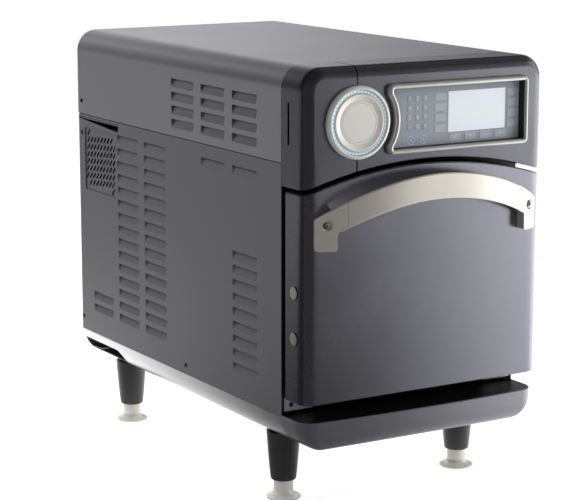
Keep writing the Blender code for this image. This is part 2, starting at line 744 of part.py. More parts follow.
def louvre_cutter(side, top):
    """Section of the pocket: a wedge that goes in deepest at its top."""
    slope = LOUVRE_HEIGHT / LOUVRE_DEPTH
    outer = HALF_WIDTH + SHEET
    points = [(outer, top), (outer, top - LOUVRE_HEIGHT - SHEET * slope), (HALF_WIDTH - LOUVRE_DEPTH, top)]
    return [(side * x, z) for x, z in points]


def louvre_backing(side, top):
    """Section of the sheet that the press pushed inward, short of the slit at the top."""
    slope = LOUVRE_HEIGHT / LOUVRE_DEPTH
    bottom = top - LOUVRE_HEIGHT
    rim = top - LOUVRE_SLIT
    skin = HALF_WIDTH - SHEET / 2
    deepest = HALF_WIDTH - SHEET - (rim - bottom) / slope
    points = [(skin, rim), (skin, bottom - SHEET / 2 * slope), (deepest, rim)]
    return [(side * x, z) for x, z in points]


def louvre_guides(name, side, columns, first_top, pitch):
    """The pressed-in backing and the pockets of a panel's louvres, as two guides."""
    backings = []
    pockets = []
    for column, rows in columns.items():
        front, rear = column_span(column)
        tops = [first_top - row * pitch for row in rows]
        backings.append(prism_mesh(name, [louvre_backing(side, top) for top in tops],
                                   front - SHEET, rear + SHEET, "front"))
        pockets.append(prism_mesh(name, [louvre_cutter(side, top) for top in tops], front, rear, "front"))
    return tool(merged(name + "_backing", backings)), tool(merged(name + "_pockets", pockets))


# Casing

def base_path():
    """The base's section from its left top edge, round its lower edges, to its right top edge."""
    left = (-HALF_WIDTH + BASE_EDGE_RADIUS, BASE_BOTTOM_Z + BASE_EDGE_RADIUS)
    right = (HALF_WIDTH - BASE_EDGE_RADIUS, BASE_BOTTOM_Z + BASE_EDGE_RADIUS)
    path = [(-HALF_WIDTH, PANEL_BOTTOM_Z)] + arc(left, BASE_EDGE_RADIUS, 180, 270, BIG_CORNER_STEPS)
    return path + arc(right, BASE_EDGE_RADIUS, 270, 360, BIG_CORNER_STEPS) + [(HALF_WIDTH, PANEL_BOTTOM_Z)]


def make_base_pan():
    mesh = prism_mesh("base_pan", [strip(base_path(), SHEET)], PANEL_FRONT_Y, PANEL_REAR_Y, "front")
    pan = part("base_pan", mesh, "stainless")
    rear = PANEL_REAR_Y - HANDHOLD_REAR_RIM
    front = rear - PANEL_DEPTH * HANDHOLD_LENGTH_SHARE
    corners = rectangle((front, BASE_BOTTOM_Z - OVERRUN), (rear, BASE_BOTTOM_Z + HANDHOLD_HEIGHT))
    outline = rounded(corners, [0, 0, 0, HANDHOLD_CORNER_RADIUS], CORNER_STEPS)
    inner = HALF_WIDTH - HANDHOLD_REACH
    outer = HALF_WIDTH + OVERRUN
    cut(pan, tool(prism_mesh("handhold_left", [outline], -outer, -inner, "side")),
        tool(prism_mesh("handhold_right", [outline], inner, outer, "side")))
    smooth(pan)


def cover_path(half_width, top, bottom, radius):
    """An upside-down U with round shoulders, from its right foot over the top to its left foot."""
    right = (half_width - radius, top - radius)
    left = (radius - half_width, top - radius)
    path = [(half_width, bottom)] + arc(right, radius, 0, 90, BIG_CORNER_STEPS)
    return path + arc(left, radius, 90, 180, BIG_CORNER_STEPS) + [(-half_width, bottom)]


def make_top_cover():
    path = cover_path(HALF_WIDTH, OVERALL_HEIGHT, COVER_BOTTOM_Z, COVER_CORNER_RADIUS)
    mesh = prism_mesh("top_cover", [strip(path, SHEET)], PANEL_FRONT_Y, PANEL_REAR_Y, "front")
    cover = part("top_cover", mesh, "charcoal_paint")
    first_top = OVERALL_HEIGHT - COVER_LOUVRE_TOP
    for side, name in ((-1, "cover_left"), (1, "cover_right")):
        backing, pockets = louvre_guides(name, side, COVER_COLUMNS, first_top, COVER_LOUVRE_PITCH)
        join(cover, backing)
        cut(cover, pockets)
    smooth(cover)


def grille_window():
    """The fan grille's rectangle in the side view."""
    top = COVER_BOTTOM_Z - GRILLE_DROP
    return (GRILLE_FRONT_Y, top - GRILLE_HEIGHT), (GRILLE_FRONT_Y + GRILLE_WIDTH, top)


def make_side_panel(name, side):
    """A flat panel with a fold along its rear edge, louvres, and on the left the fan's openings."""
    path = [(side * HALF_WIDTH, PANEL_FRONT_Y), (side * HALF_WIDTH, PANEL_REAR_Y),
            (side * (HALF_WIDTH - REAR_FLANGE), PANEL_REAR_Y)]
    outline = strip(path, side * SHEET)
    mesh = prism_mesh(name, [outline], PANEL_BOTTOM_Z + GAP, PANEL_TOP_Z, "plan")
    panel = part(name, mesh, "charcoal_paint")
    if side < 0:
        inner = HALF_WIDTH - SHEET - OVERRUN
        outer = HALF_WIDTH + OVERRUN
        low, high = grille_window()
        window = prism_mesh("grille_window", [rectangle(low, high)], -outer, -inner, "side")
        rear = PANEL_REAR_Y - INTAKE_REAR_SETBACK
        front = rear - INTAKE_LENGTH
        top = PANEL_TOP_Z - INTAKE_DROP
        intake = [(front, top), (front, top - INTAKE_FRONT_HEIGHT), (rear, top - INTAKE_REAR_HEIGHT),
                  (rear, top)]
        cut(panel, tool(window), tool(prism_mesh("intake_slot", [intake], -outer, -inner, "side")))
    backing, pockets = louvre_guides(name, side, PANEL_COLUMNS, PANEL_LOUVRE_TOP_Z, PANEL_LOUVRE_PITCH)
    join(panel, backing)
    cut(panel, pockets)


def slot_outline(centre):
    """A slot with round ends, leaning at half a right angle."""
    half = SLOT_LENGTH / 2 - SLOT_WIDTH / 2
    lean = Vector((-1, 1)).normalized() * half
    far = (centre[0] + lean.x, centre[1] + lean.y)
    near = (centre[0] - lean.x, centre[1] - lean.y)
    ends = arc(far, SLOT_WIDTH / 2, 45, 225, 2)
    return ends + arc(near, SLOT_WIDTH / 2, 225, 405, 2)


def slot_centres(low, high):
    """Staggered rows of slots that lie inside a rectangle."""
    middle = Vector((low[0] + high[0], low[1] + high[1])) / 2
    along = Vector((-1, 1)).normalized()
    across = Vector((1, 1)).normalized()
    margin = SLOT_LENGTH / 2 * along.y + SLOT_WIDTH / 4
    reach = int((GRILLE_WIDTH + GRILLE_HEIGHT) / SLOT_ROW_PITCH)
    centres = []
    for row in range(-reach, reach + 1):
        stagger = SLOT_PITCH / 2 * (row % 2)
        for step in range(-reach, reach + 1):
            spot = middle + across * row * SLOT_ROW_PITCH + along * (step * SLOT_PITCH + stagger)
            inside_y = low[0] + margin < spot.x < high[0] - margin
            if inside_y and low[1] + margin < spot.y < high[1] - margin:
                centres.append(spot)
    return centres


def make_fan_grille():
    """The slotted plate behind the window in the left panel."""
    low, high = grille_window()
    rim = rectangle((low[0] - GRILLE_RIM, low[1] - GRILLE_RIM), (high[0] + GRILLE_RIM, high[1] + GRILLE_RIM))
    loops = [rim] + [slot_outline(centre) for centre in slot_centres(low, high)]
    outer = -HALF_WIDTH + SHEET + GAP
    plate = prism_mesh("fan_grille", loops, outer, outer + GRILLE_SHEET, "side")
    part("fan_grille", plate, "charcoal_paint")


def make_back_panel():
    rear = PANEL_REAR_Y - SHEET - GAP
    radius = COVER_CORNER_RADIUS - SHEET - GAP
    path = cover_path(INNER_HALF_WIDTH, OVERALL_HEIGHT - SHEET - GAP, PANEL_BOTTOM_Z, radius)
    foot = moved_sideways(base_path(), SHEET + GAP)
    vents = []
    for side in (-1, 1):
        for row in range(BACK_VENT_ROWS):
            low = (side * BACK_VENT_X - BACK_VENT_WIDTH / 2, BACK_VENT_Z + row * BACK_VENT_PITCH)
            high = (low[0] + BACK_VENT_WIDTH, low[1] + BACK_VENT_HEIGHT)
            vents.append(rectangle(low, high))
    gland = circle((GLAND_X, GLAND_Z), GLAND_RADIUS + GAP, TURN_STEPS)
    loops = [path + foot, gland] + vents
    part("back_panel", prism_mesh("back_panel", loops, rear - SHEET, rear, "front"), "galvanised")


def make_cord_gland():
    """The cord's inlet in the back panel: a threaded sleeve with a nut outside, and a bore for the cord."""
    panel_rear = PANEL_REAR_Y - SHEET - GAP
    nut_front = panel_rear + GAP
    outer_end = PANEL_REAR_Y + REAR_REACH
    inner_end = panel_rear - SHEET - GLAND_NUT
    profile = [(GLAND_BORE_RADIUS, outer_end), (GLAND_NUT_RADIUS - GLAND_NUT / 4, outer_end),
               (GLAND_NUT_RADIUS, outer_end - GLAND_NUT / 4), (GLAND_NUT_RADIUS, nut_front),
               (GLAND_RADIUS, nut_front), (GLAND_RADIUS, inner_end), (GLAND_BORE_RADIUS, inner_end)]
    mesh = turned_mesh("cord_gland", profile, TURN_STEPS, closed=True)
    smooth(part("cord_gland", turned_to(mesh, (0, 1, 0), (GLAND_X, 0, GLAND_Z)), "black_plastic"))


# Legs and feet

LEG_PLACES = {
    "front_left": (LEG_SIDE_INSET - HALF_WIDTH, PANEL_FRONT_Y + LEG_FRONT_SETBACK),
    "front_right": (HALF_WIDTH - LEG_SIDE_INSET, PANEL_FRONT_Y + LEG_FRONT_SETBACK),
    "rear_left": (LEG_SIDE_INSET - HALF_WIDTH, PANEL_REAR_Y - LEG_REAR_SETBACK),
    "rear_right": (HALF_WIDTH - LEG_SIDE_INSET, PANEL_REAR_Y - LEG_REAR_SETBACK),
}


def leg_profile():
    """A tapered leg with a wide bore for the foot's neck and a narrow one for its stud."""
    top = BASE_BOTTOM_Z - GAP
    neck_bore = FOOT_NECK_RADIUS + GAP
    stud_bore = FOOT_STUD_RADIUS + GAP
    return [(0, top), (LEG_TOP_RADIUS, top), (LEG_BOTTOM_RADIUS, LEG_BOTTOM_Z + LEG_EDGE),
            (LEG_BOTTOM_RADIUS - LEG_EDGE, LEG_BOTTOM_Z), (neck_bore, LEG_BOTTOM_Z),
            (neck_bore, FOOT_NECK_TOP + FOOT_BORE_SPARE), (stud_bore, FOOT_NECK_TOP + FOOT_BORE_SPARE),
            (stud_bore, FOOT_STUD_TOP + FOOT_BORE_SPARE), (0, FOOT_STUD_TOP + FOOT_BORE_SPARE)]


def foot_profile():
    """A flared flange on a smooth neck, with the threaded stud above it."""
    return [(0, FOOT_STUD_TOP), (FOOT_STUD_RADIUS, FOOT_STUD_TOP), (FOOT_STUD_RADIUS, FOOT_NECK_TOP),
            (FOOT_NECK_RADIUS, FOOT_NECK_TOP), (FOOT_NECK_RADIUS, FOOT_FLANGE_HEIGHT + FOOT_FLANGE_EDGE),
            (FOOT_NECK_RADIUS + FOOT_FLANGE_EDGE, FOOT_FLANGE_HEIGHT),
            (FOOT_FLANGE_RADIUS, FOOT_FLANGE_EDGE), (FOOT_FLANGE_RADIUS, FOOT_FLANGE_EDGE / 2),
            (FOOT_FLANGE_RADIUS - FOOT_FLANGE_EDGE, 0), (0, 0)]


def make_legs_and_feet():
    for name, (x, y) in LEG_PLACES.items():
        leg = turned_mesh("leg_" + name, leg_profile(), TURN_STEPS)
        smooth(part("leg_" + name, turned_to(leg, (0, 0, 1), (x, y, 0)), "black_plastic"))
        foot = turned_mesh("foot_" + name, foot_profile(), TURN_STEPS)
        foot = turned_to(foot, (0, 0, 1), (x, y, 0))
        smooth(part("foot_" + name, foot, "stainless", origin=(x, y, 0)))


# Cooking chamber

def chamber_mouth():
    half = CHAMBER_WIDTH / 2
    return rectangle((-half, CHAMBER_FLOOR_Z), (half, CHAMBER_ROOF_Z))


def make_front_frame():
    radius = COVER_CORNER_RADIUS - SHEET - GAP
    bottom = TRAY_TOP_Z + FRAME_BOTTOM_RISE - TRAY_TOP_RISE
    path = cover_path(INNER_HALF_WIDTH, OVERALL_HEIGHT - SHEET - GAP, bottom, radius)
    mesh = prism_mesh("front_frame", [path, chamber_mouth()], FRAME_FRONT_Y, FRAME_REAR_Y, "front")
    part("front_frame", mesh, "stainless")


def shell_box(name, outset, back, wall):
    """Box round the chamber, and the box inside it that empties it through the front."""
    half = CHAMBER_WIDTH / 2 + outset
    low = CHAMBER_FLOOR_Z - outset
    high = CHAMBER_ROOF_Z + outset
    outer = box_mesh(name, (-half, CHAMBER_FRONT_Y, low), (half, back, high))
    inner = box_mesh(name + "_inside", (wall - half, CHAMBER_FRONT_Y - OVERRUN, low + wall),
                     (half - wall, back - wall, high - wall))
    return outer, tool(inner)


def make_cook_chamber():
    outer, inner = shell_box("cook_chamber", CHAMBER_SHEET, CHAMBER_BACK_Y, CHAMBER_SHEET)
    chamber = part("cook_chamber", outer, "stainless")
    hole = rod_mesh("chamber_stirrer_hole", (0, STIRRER_Y, CHAMBER_ROOF_Z - OVERRUN / 2),
                    (0, STIRRER_Y, CHAMBER_ROOF_Z + OVERRUN), STIRRER_SHAFT_RADIUS + CHAMBER_SHEET,
                    SMALL_STEPS)
    cut(chamber, inner, tool(hole))


def make_insulation():
    outset = CHAMBER_SHEET + GAP + INSULATION
    outer, inner = shell_box("insulation", outset, INSULATION_BACK_Y, INSULATION)
    wool = part("insulation", outer, "mineral_wool")
    hole = rod_mesh("insulation_stirrer_hole", (0, STIRRER_Y, CHAMBER_ROOF_Z),
                    (0, STIRRER_Y, INSULATION_TOP_Z + OVERRUN), STIRRER_SHAFT_RADIUS + CHAMBER_SHEET,
                    SMALL_STEPS)
    cut(wool, inner, tool(hole))


def make_oven_rack():
    """Two cross rods from wall to wall, with the long rods sunk a little into them."""
    half = CHAMBER_WIDTH / 2 - GAP
    z = RACK_Z
    front = CHAMBER_FRONT_Y + RACK_END_INSET
    rear = CHAMBER_BACK_Y - CHAMBER_SHEET - RACK_END_INSET
    mesh = rod_mesh("oven_rack", (-half, front, z), (half, front, z), RACK_ROD_RADIUS, SMALL_STEPS)
    rack = part("oven_rack", mesh, "stainless")
    rear_rod = rod_mesh("rack_rear_rod", (-half, rear, z), (half, rear, z), RACK_ROD_RADIUS, SMALL_STEPS)
    join(rack, tool(rear_rod))
    rods = []
    upper = z + 2 * RACK_ROD_RADIUS - RACK_ROD_SINK
    spread = half - RACK_END_INSET
    for step in range(RACK_RODS):
        x = spread * (2 * step / (RACK_RODS - 1) - 1)
        rods.append(rod_mesh("rack_rod", (x, front - 2 * RACK_ROD_RADIUS, upper),
                             (x, rear + 2 * RACK_ROD_RADIUS, upper), RACK_ROD_RADIUS, SMALL_STEPS))
    join(rack, tool(merged("rack_rods", rods)))


def make_jetplate(name, z):
    """A plate pierced by rows of round air jets, fitted between the chamber's walls."""
    half = CHAMBER_WIDTH / 2 - GAP
    front = CHAMBER_FRONT_Y + RACK_END_INSET / 2
    rear = CHAMBER_BACK_Y - CHAMBER_SHEET - GAP
    loops = [rectangle((-half, front), (half, rear))]
    for row in range(JET_ROWS):
        for column in range(JET_COLUMNS):
            x = 2 * half * ((column + 1) / (JET_COLUMNS + 1)) - half
            y = front + (rear - front) * (row + 1) / (JET_ROWS + 1)
            loops.append(circle((x, y), JET_HOLE_RADIUS, SMALL_STEPS))
    part(name, prism_mesh(name, loops, z, z + JETPLATE_SHEET, "plan"), "stainless")


# Air and microwave parts

BLOWERS = {
    "top_blower": (-BLOWER_OFFSET_X, BLOWER_Z + BLOWER_OFFSET_Z),
    "bottom_blower": (BLOWER_OFFSET_X, BLOWER_Z - BLOWER_OFFSET_Z),
}


def make_blower_housing():
    half = BLOWER_HOUSING_WIDTH / 2
    low = BLOWER_Z - BLOWER_HOUSING_HEIGHT / 2
    loops = [rectangle((-half, low), (half, low + BLOWER_HOUSING_HEIGHT))]
    loops += [circle(centre, BLOWER_BORE_RADIUS, TURN_STEPS) for centre in BLOWERS.values()]
    mesh = prism_mesh("blower_housing", loops, BLOWER_FRONT_Y, BLOWER_BACK_Y, "front")
    part("blower_housing", mesh, "galvanised")


def make_blower(name, centre):
    """A bladed wheel on its shaft, and the motor that carries it behind the housing."""
    x, z = centre
    flange_front = BLOWER_BACK_Y + GAP
    rear_face = BLOWER_BACK_Y - SHEET
    disc_front = rear_face - WHEEL_BACK
    front_face = rear_face - WHEEL_WIDTH
    shaft_end = flange_front + SHAFT_IN_MOTOR
    disc = WHEEL_RADIUS + WHEEL_BLADE / 2
    core = [(0, shaft_end), (SHAFT_RADIUS, shaft_end), (SHAFT_RADIUS, rear_face), (disc, rear_face),
            (disc, disc_front), (WHEEL_HUB_RADIUS, disc_front), (WHEEL_HUB_RADIUS, front_face + WHEEL_BACK),
            (0, front_face + WHEEL_BACK)]
    mesh = turned_to(turned_mesh(name + "_wheel", core, TURN_STEPS), (0, 1, 0), (x, 0, z))
    wheel = part(name + "_wheel", mesh, "stainless", origin=(x, rear_face, z))
    blades = []
    for blade in range(WHEEL_BLADES):
        vane = box_mesh("vane", (WHEEL_BLADE_ROOT, front_face, -WHEEL_BLADE / 2),
                        (WHEEL_RADIUS, rear_face - WHEEL_BACK / 2, WHEEL_BLADE / 2))
        turn = Matrix.Rotation(2 * math.pi * (blade + 1 / 3) / WHEEL_BLADES, 4, "Y")
        vane.transform(Matrix.Translation((x, 0, z)) @ turn)
        blades.append(vane)
    join(wheel, tool(merged(name + "_vanes", blades)))
    smooth(wheel)
    bore = SHAFT_RADIUS + GAP
    rear = flange_front + MOTOR_LENGTH
    body = flange_front + MOTOR_FLANGE
    profile = [(0, rear), (MOTOR_RADIUS - MOTOR_EDGE, rear), (MOTOR_RADIUS, rear - MOTOR_EDGE),
               (MOTOR_RADIUS, body), (MOTOR_FLANGE_RADIUS, body), (MOTOR_FLANGE_RADIUS, flange_front),
               (bore, flange_front), (bore, shaft_end + GAP), (0, shaft_end + GAP)]
    motor = turned_to(turned_mesh(name + "_motor", profile, TURN_STEPS), (0, 1, 0), (x, 0, z))
    smooth(part(name + "_motor", motor, "cast_motor"))


def make_waveguide():
    """The box above the insulation that leads the microwaves to the stirrer, with its shaft's hole."""
    half = WAVEGUIDE_WIDTH / 2
    low = INSULATION_TOP_Z + GAP
    loops = [rectangle((-half, WAVEGUIDE_FRONT_Y), (half, WAVEGUIDE_REAR_Y)),
             circle((0, STIRRER_Y), STIRRER_SHAFT_RADIUS + GAP, SMALL_STEPS)]
    part("waveguide", prism_mesh("waveguide", loops, low, low + WAVEGUIDE_HEIGHT, "plan"), "galvanised")


def make_stirrer():
    """Four flat paddles under the chamber's roof, on the shaft that hangs from the waveguide."""
    half = STIRRER_BLADE_WIDTH / 2
    low = STIRRER_Z - STIRRER_SHEET
    paddle = box_mesh("stirrer", (-STIRRER_RADIUS, STIRRER_Y - half, low), (STIRRER_RADIUS, STIRRER_Y + half,
                                                                            STIRRER_Z))
    stirrer = part("stirrer", paddle, "stainless", origin=(0, STIRRER_Y, STIRRER_Z))
    crossing = box_mesh("stirrer_paddle", (-half, STIRRER_Y - STIRRER_RADIUS, low - STIRRER_SHEET / 4),
                        (half, STIRRER_Y + STIRRER_RADIUS, STIRRER_Z - STIRRER_SHEET / 4))
    join(stirrer, tool(crossing))
    top = INSULATION_TOP_Z + STIRRER_SHAFT_RISE
    shaft = rod_mesh("stirrer_shaft", (0, STIRRER_Y, STIRRER_Z - STIRRER_SHEET / 2), (0, STIRRER_Y, top),
                     STIRRER_SHAFT_RADIUS, SMALL_STEPS)
    join(stirrer, tool(shaft))


def make_magnetron():
    """A steel yoke round a stack of cooling fins, standing on the rear of the waveguide."""
    half = MAGNETRON_WIDTH / 2
    rear = WAVEGUIDE_REAR_Y
    front = rear - MAGNETRON_LENGTH
    low = INSULATION_TOP_Z + WAVEGUIDE_HEIGHT + 2 * GAP
    magnetron = part("magnetron", box_mesh("magnetron", (-half, front, low),
                                           (half, rear, low + MAGNETRON_HEIGHT)), "galvanised")
    gaps = []
    step = (MAGNETRON_HEIGHT - 2 * MAGNETRON_YOKE) / MAGNETRON_FINS
    core = half / 3
    for fin in range(MAGNETRON_FINS):
        z = low + MAGNETRON_YOKE + fin * step
        for side in (-1, 1):
            ends = sorted((side * core, side * (half - MAGNETRON_FIN)))
            gaps.append(box_mesh("fin_gap", (ends[0], front - OVERRUN, z),
                                 (ends[1], rear + OVERRUN, z + step - MAGNETRON_FIN)))
    cut(magnetron, tool(merged("fin_gaps", gaps)))


def make_component_shelf():
    """The sheet shelf across the rear of the casing, folded down along its front and sides."""
    half = INNER_HALF_WIDTH
    foot = SHELF_Z - SHELF_FLANGE
    path = [(-half, foot), (-half, SHELF_Z), (half, SHELF_Z), (half, foot)]
    front = PANEL_FRONT_Y + SHELF_FRONT_SETBACK
    rear = PANEL_REAR_Y - 2 * (SHEET + GAP)
    mesh = prism_mesh("component_shelf", [strip(path, -SHEET)], front, rear, "front")
    part("component_shelf", mesh, "galvanised")


def make_transformer():
    """A laminated core with its two windings standing out at the ends."""
    x = HALF_WIDTH * TRANSFORMER_PLACE_SHARE
    y = PANEL_FRONT_Y + TRANSFORMER_SETBACK
    low = SHELF_Z + GAP
    half_length = TRANSFORMER_LENGTH / 2
    half_width = TRANSFORMER_WIDTH / 2 - TRANSFORMER_COIL_STAND
    block = box_mesh("transformer", (x - half_length, y - half_width, low),
                     (x + half_length, y + half_width, low + TRANSFORMER_HEIGHT))
    core = part("transformer", block, "copper")
    half_coil = TRANSFORMER_COIL_LENGTH / 2
    middle = low + TRANSFORMER_HEIGHT / 2
    corners = rectangle((x - half_coil, middle - half_coil), (x + half_coil, middle + half_coil))
    outline = rounded(corners, [TRANSFORMER_COIL_STAND] * 4, CORNER_STEPS)
    reach = TRANSFORMER_WIDTH / 2
    join(core, tool(prism_mesh("transformer_coils", [outline], y - reach, y + reach, "front")))


def make_capacitor():
    """A can with two terminals on its top."""
    x = -HALF_WIDTH * CAPACITOR_PLACE_SHARE
    y = PANEL_FRONT_Y + CAPACITOR_SETBACK
    low = SHELF_Z + GAP
    top = low + CAPACITOR_HEIGHT
    can = part("capacitor", rod_mesh("capacitor", (x, y, low), (x, y, top), CAPACITOR_RADIUS, TURN_STEPS),
               "galvanised")
    for side in (-1, 1):
        centre = x + side * CAPACITOR_RADIUS / 2
        post = rod_mesh("terminal", (centre, y, top - CAPACITOR_TERMINAL),
                        (centre, y, top + CAPACITOR_TERMINAL), CAPACITOR_TERMINAL / 2, SMALL_STEPS)
        join(can, tool(post))
    smooth(can)


def fan_place():
    """Centre of the cooling fan behind the grille, and the X of its outer face."""
    low, high = grille_window()
    return (low[0] + high[0]) / 2, (low[1] + high[1]) / 2, -HALF_WIDTH + SHEET + GRILLE_SHEET + 2 * GAP


def make_cooling_fan():
    """A square frame with crossed struts and a cup that carries the bladed rotor's axle."""
    y, z, outer = fan_place()
    inner = outer + FAN_FRAME_DEPTH
    half = FAN_FRAME_SIZE / 2
    loops = [rectangle((y - half, z - half), (y + half, z + half)),
             circle((y, z), FAN_BORE_RADIUS, TURN_STEPS)]
    square = prism_mesh("cooling_fan_frame", loops, outer, inner, "side")
    frame = part("cooling_fan_frame", square, "black_plastic")
    back = inner - FAN_STRUT_DEPTH
    reach = FAN_BORE_RADIUS + SHEET
    struts = [box_mesh("strut", (back, y - reach, z - FAN_STRUT / 2), (inner, y + reach, z + FAN_STRUT / 2)),
              box_mesh("strut", (back, y - FAN_STRUT / 2, z - reach), (inner, y + FAN_STRUT / 2, z + reach))]
    cup = rod_mesh("fan_cup", (back, y, z), (inner, y, z), FAN_CUP_RADIUS, TURN_STEPS)
    for piece in struts:
        join(frame, tool(piece))
    join(frame, tool(cup))
    bore = rod_mesh("fan_bore", (back - OVERRUN, y, z), (inner + OVERRUN, y, z), FAN_AXLE_RADIUS + GAP,
                    SMALL_STEPS)
    cut(frame, tool(bore))
    make_fan_rotor(y, z, back - SHEET)


def make_fan_rotor(y, z, rear):
    """Pitched blades round a hub, with the axle that runs in the frame's cup."""
    front = rear - FAN_BLADE_DEPTH
    hub = rod_mesh("cooling_fan_rotor", (front, y, z), (rear, y, z), FAN_HUB_RADIUS, TURN_STEPS)
    rotor = part("cooling_fan_rotor", hub, "black_plastic", origin=(rear, y, z))
    middle = (front + rear) / 2
    span = (FAN_BLADE_DEPTH / 2 - FAN_BLADE_THICKNESS) / math.cos(math.radians(FAN_BLADE_PITCH))
    blades = []
    for blade in range(FAN_BLADES):
        mesh = box_mesh("blade", (-span, -FAN_BLADE_THICKNESS / 2, FAN_HUB_RADIUS - FAN_BLADE_THICKNESS),
                        (span, FAN_BLADE_THICKNESS / 2, FAN_BLADE_RADIUS))
        mesh.transform(Matrix.Rotation(math.radians(FAN_BLADE_PITCH), 4, "Z"))
        mesh.transform(Matrix.Rotation(2 * math.pi * blade / FAN_BLADES, 4, "X"))
        mesh.transform(Matrix.Translation((middle, y, z)))
        blades.append(mesh)
    axle = rod_mesh("fan_axle", (middle, y, z), (rear + FAN_STRUT_DEPTH, y, z), FAN_AXLE_RADIUS, SMALL_STEPS)
    join(rotor, tool(merged("fan_blades", blades)), tool(axle))


# Fascia and controls

def fascia_outline():
    """Round shoulders at the top and an arch along the bottom, from the right foot over the top."""
    foot = arch_height(HALF_WIDTH, FASCIA_APEX_Z)
    path = cover_path(HALF_WIDTH, OVERALL_HEIGHT, foot, COVER_CORNER_RADIUS)
    return path + arch_points(HALF_WIDTH, FASCIA_APEX_Z)[1:-1]


def shell_pair(name, outline, depth_rear, wall, edge_mesh_pick, edge_radius):
    """A front piece's outer mesh with its rounded edges marked, and the guide that hollows it."""
    outer = prism_mesh(name, [outline], FACE_Y, depth_rear, "front")
    rounded_front(outer, edge_mesh_pick(FACE_Y))
    inner_outline = moved_sideways(outline, wall, closed=True)
    inner = prism_mesh(name + "_inside", [inner_outline], FACE_Y + wall, depth_rear + OVERRUN, "front")
    rounded_front(inner, edge_mesh_pick(FACE_Y + wall))
    guide = tool(inner)
    add_bevel(guide, edge_radius - wall, EDGE_STEPS)
    return outer, guide


def on_level(value, level):
    return abs(value - level) < GAP / 10


def front_sides_and_top(level):
    """Picks the edges of the front face except those along the arch, which stay crisp."""
    arch_limit = FASCIA_APEX_Z + 2 * FRONT_WALL

    def pick(first, second):
        return on_level(first.y, level) and on_level(second.y, level) and max(first.z, second.z) > arch_limit
    return pick


def front_uprights(level):
    """Picks the two upright edges of the front face."""
    def pick(first, second):
        flat = on_level(first.y, level) and on_level(second.y, level)
        return flat and on_level(first.x, second.x) and abs(first.x) > HALF_WIDTH - EDGE_RADIUS
    return pick


def bezel_outline(inset):
    """The control bezel, hollowed on its left to follow the badge, moved inwards by an inset."""
    radius = BADGE_RADIUS + BEZEL_CLEARANCE + inset
    left = BEZEL_LEFT_X + inset
    right = BEZEL_RIGHT_X - inset
    top = BEZEL_TOP_Z - inset
    bottom = BEZEL_BOTTOM_Z + inset
    corner = max(BEZEL_CORNER_RADIUS - inset, BEZEL_INNER_CORNER)
    reach = math.degrees(math.acos((left - BADGE_X) / radius))
    hollow = arc((BADGE_X, BADGE_Z), radius, reach, -reach, ARCH_STEPS)
    corners = [hollow[-1], (left, bottom), (right, bottom), (right, top), (left, top)]
    outline = rounded(corners, [0, corner, corner, corner, corner], CORNER_STEPS)
    return outline + hollow[:-1]


def bezel_section():
    """(inset, y) round the bezel: outer flank, crown, inner edge, and the skirt that holds the overlay."""
    rear = FACE_Y - GAP
    front = rear - BEZEL_HEIGHT
    flank = BEZEL_HEIGHT * BEZEL_FLANK_SHARE
    drop = BEZEL_HEIGHT * BEZEL_DROP_SHARE
    half = BEZEL_RIM / 2
    unit = arc((0, 0), 1, 0, 90, EDGE_STEPS)
    section = [(0, rear)]
    section += [(half * (1 - away), rear - flank - (BEZEL_HEIGHT - flank) * up) for away, up in unit]
    section += [(half * (1 + along), front + drop * (1 - level)) for level, along in unit[1:]]
    skirt_rear = FACE_Y + OVERLAY_SETBACK + OVERLAY_SHEET
    outside = BEZEL_RIM - BEZEL_SKIRT
    return section + [(BEZEL_RIM, skirt_rear), (outside, skirt_rear), (outside, rear)]


def make_fascia():
    outer, inside = shell_pair("fascia", fascia_outline(), FASCIA_REAR_Y, FRONT_WALL, front_sides_and_top,
                               EDGE_RADIUS)
    outer.name = "fascia_main"
    main = part("fascia_main", outer, "charcoal_paint")
    end = part("fascia_end", outer.copy(), "charcoal_paint")
    low_y = FACE_Y - OVERRUN
    high_y = FASCIA_REAR_Y + OVERRUN
    high_z = OVERALL_HEIGHT + OVERRUN
    left_half = box_mesh("left_half", (-HALF_WIDTH - OVERRUN, low_y, COVER_BOTTOM_Z - HALF_WIDTH),
                         (BADGE_X + FASCIA_SPLIT / 2, high_y, high_z))
    right_half = box_mesh("right_half", (BADGE_X - FASCIA_SPLIT / 2, low_y, COVER_BOTTOM_Z - HALF_WIDTH),
                          (HALF_WIDTH + OVERRUN, high_y, high_z))
    for piece, other_side in ((main, left_half), (end, right_half)):
        add_bevel(piece, EDGE_RADIUS, EDGE_STEPS)
        cut(piece, inside, tool(other_side))
    hole = bezel_outline(BEZEL_RIM - BEZEL_SKIRT - GAP)
    window = prism_mesh("control_window", [hole], low_y, FACE_Y + 2 * FRONT_WALL, "front")
    cut(main, tool(window))
    slot_y = FASCIA_REAR_Y - CARD_SLOT_SETBACK
    half_slot = CARD_SLOT_WIDTH / 2
    half_height = CARD_SLOT_HEIGHT / 2
    slot_low = (-HALF_WIDTH - OVERRUN, slot_y - half_slot, CARD_SLOT_Z - half_height)
    slot_high = (2 * FRONT_WALL - HALF_WIDTH, slot_y + half_slot, CARD_SLOT_Z + half_height)
    slot = box_mesh("card_slot", slot_low, slot_high)
    cut(end, tool(slot))
    smooth(main)
    smooth(end)


def facing_front(mesh, centre_x, centre_z):
    """Turn a piece so that its height stands out of the front face."""
    return turned_to(mesh, (0, -1, 0), (centre_x, FACE_Y, centre_z))


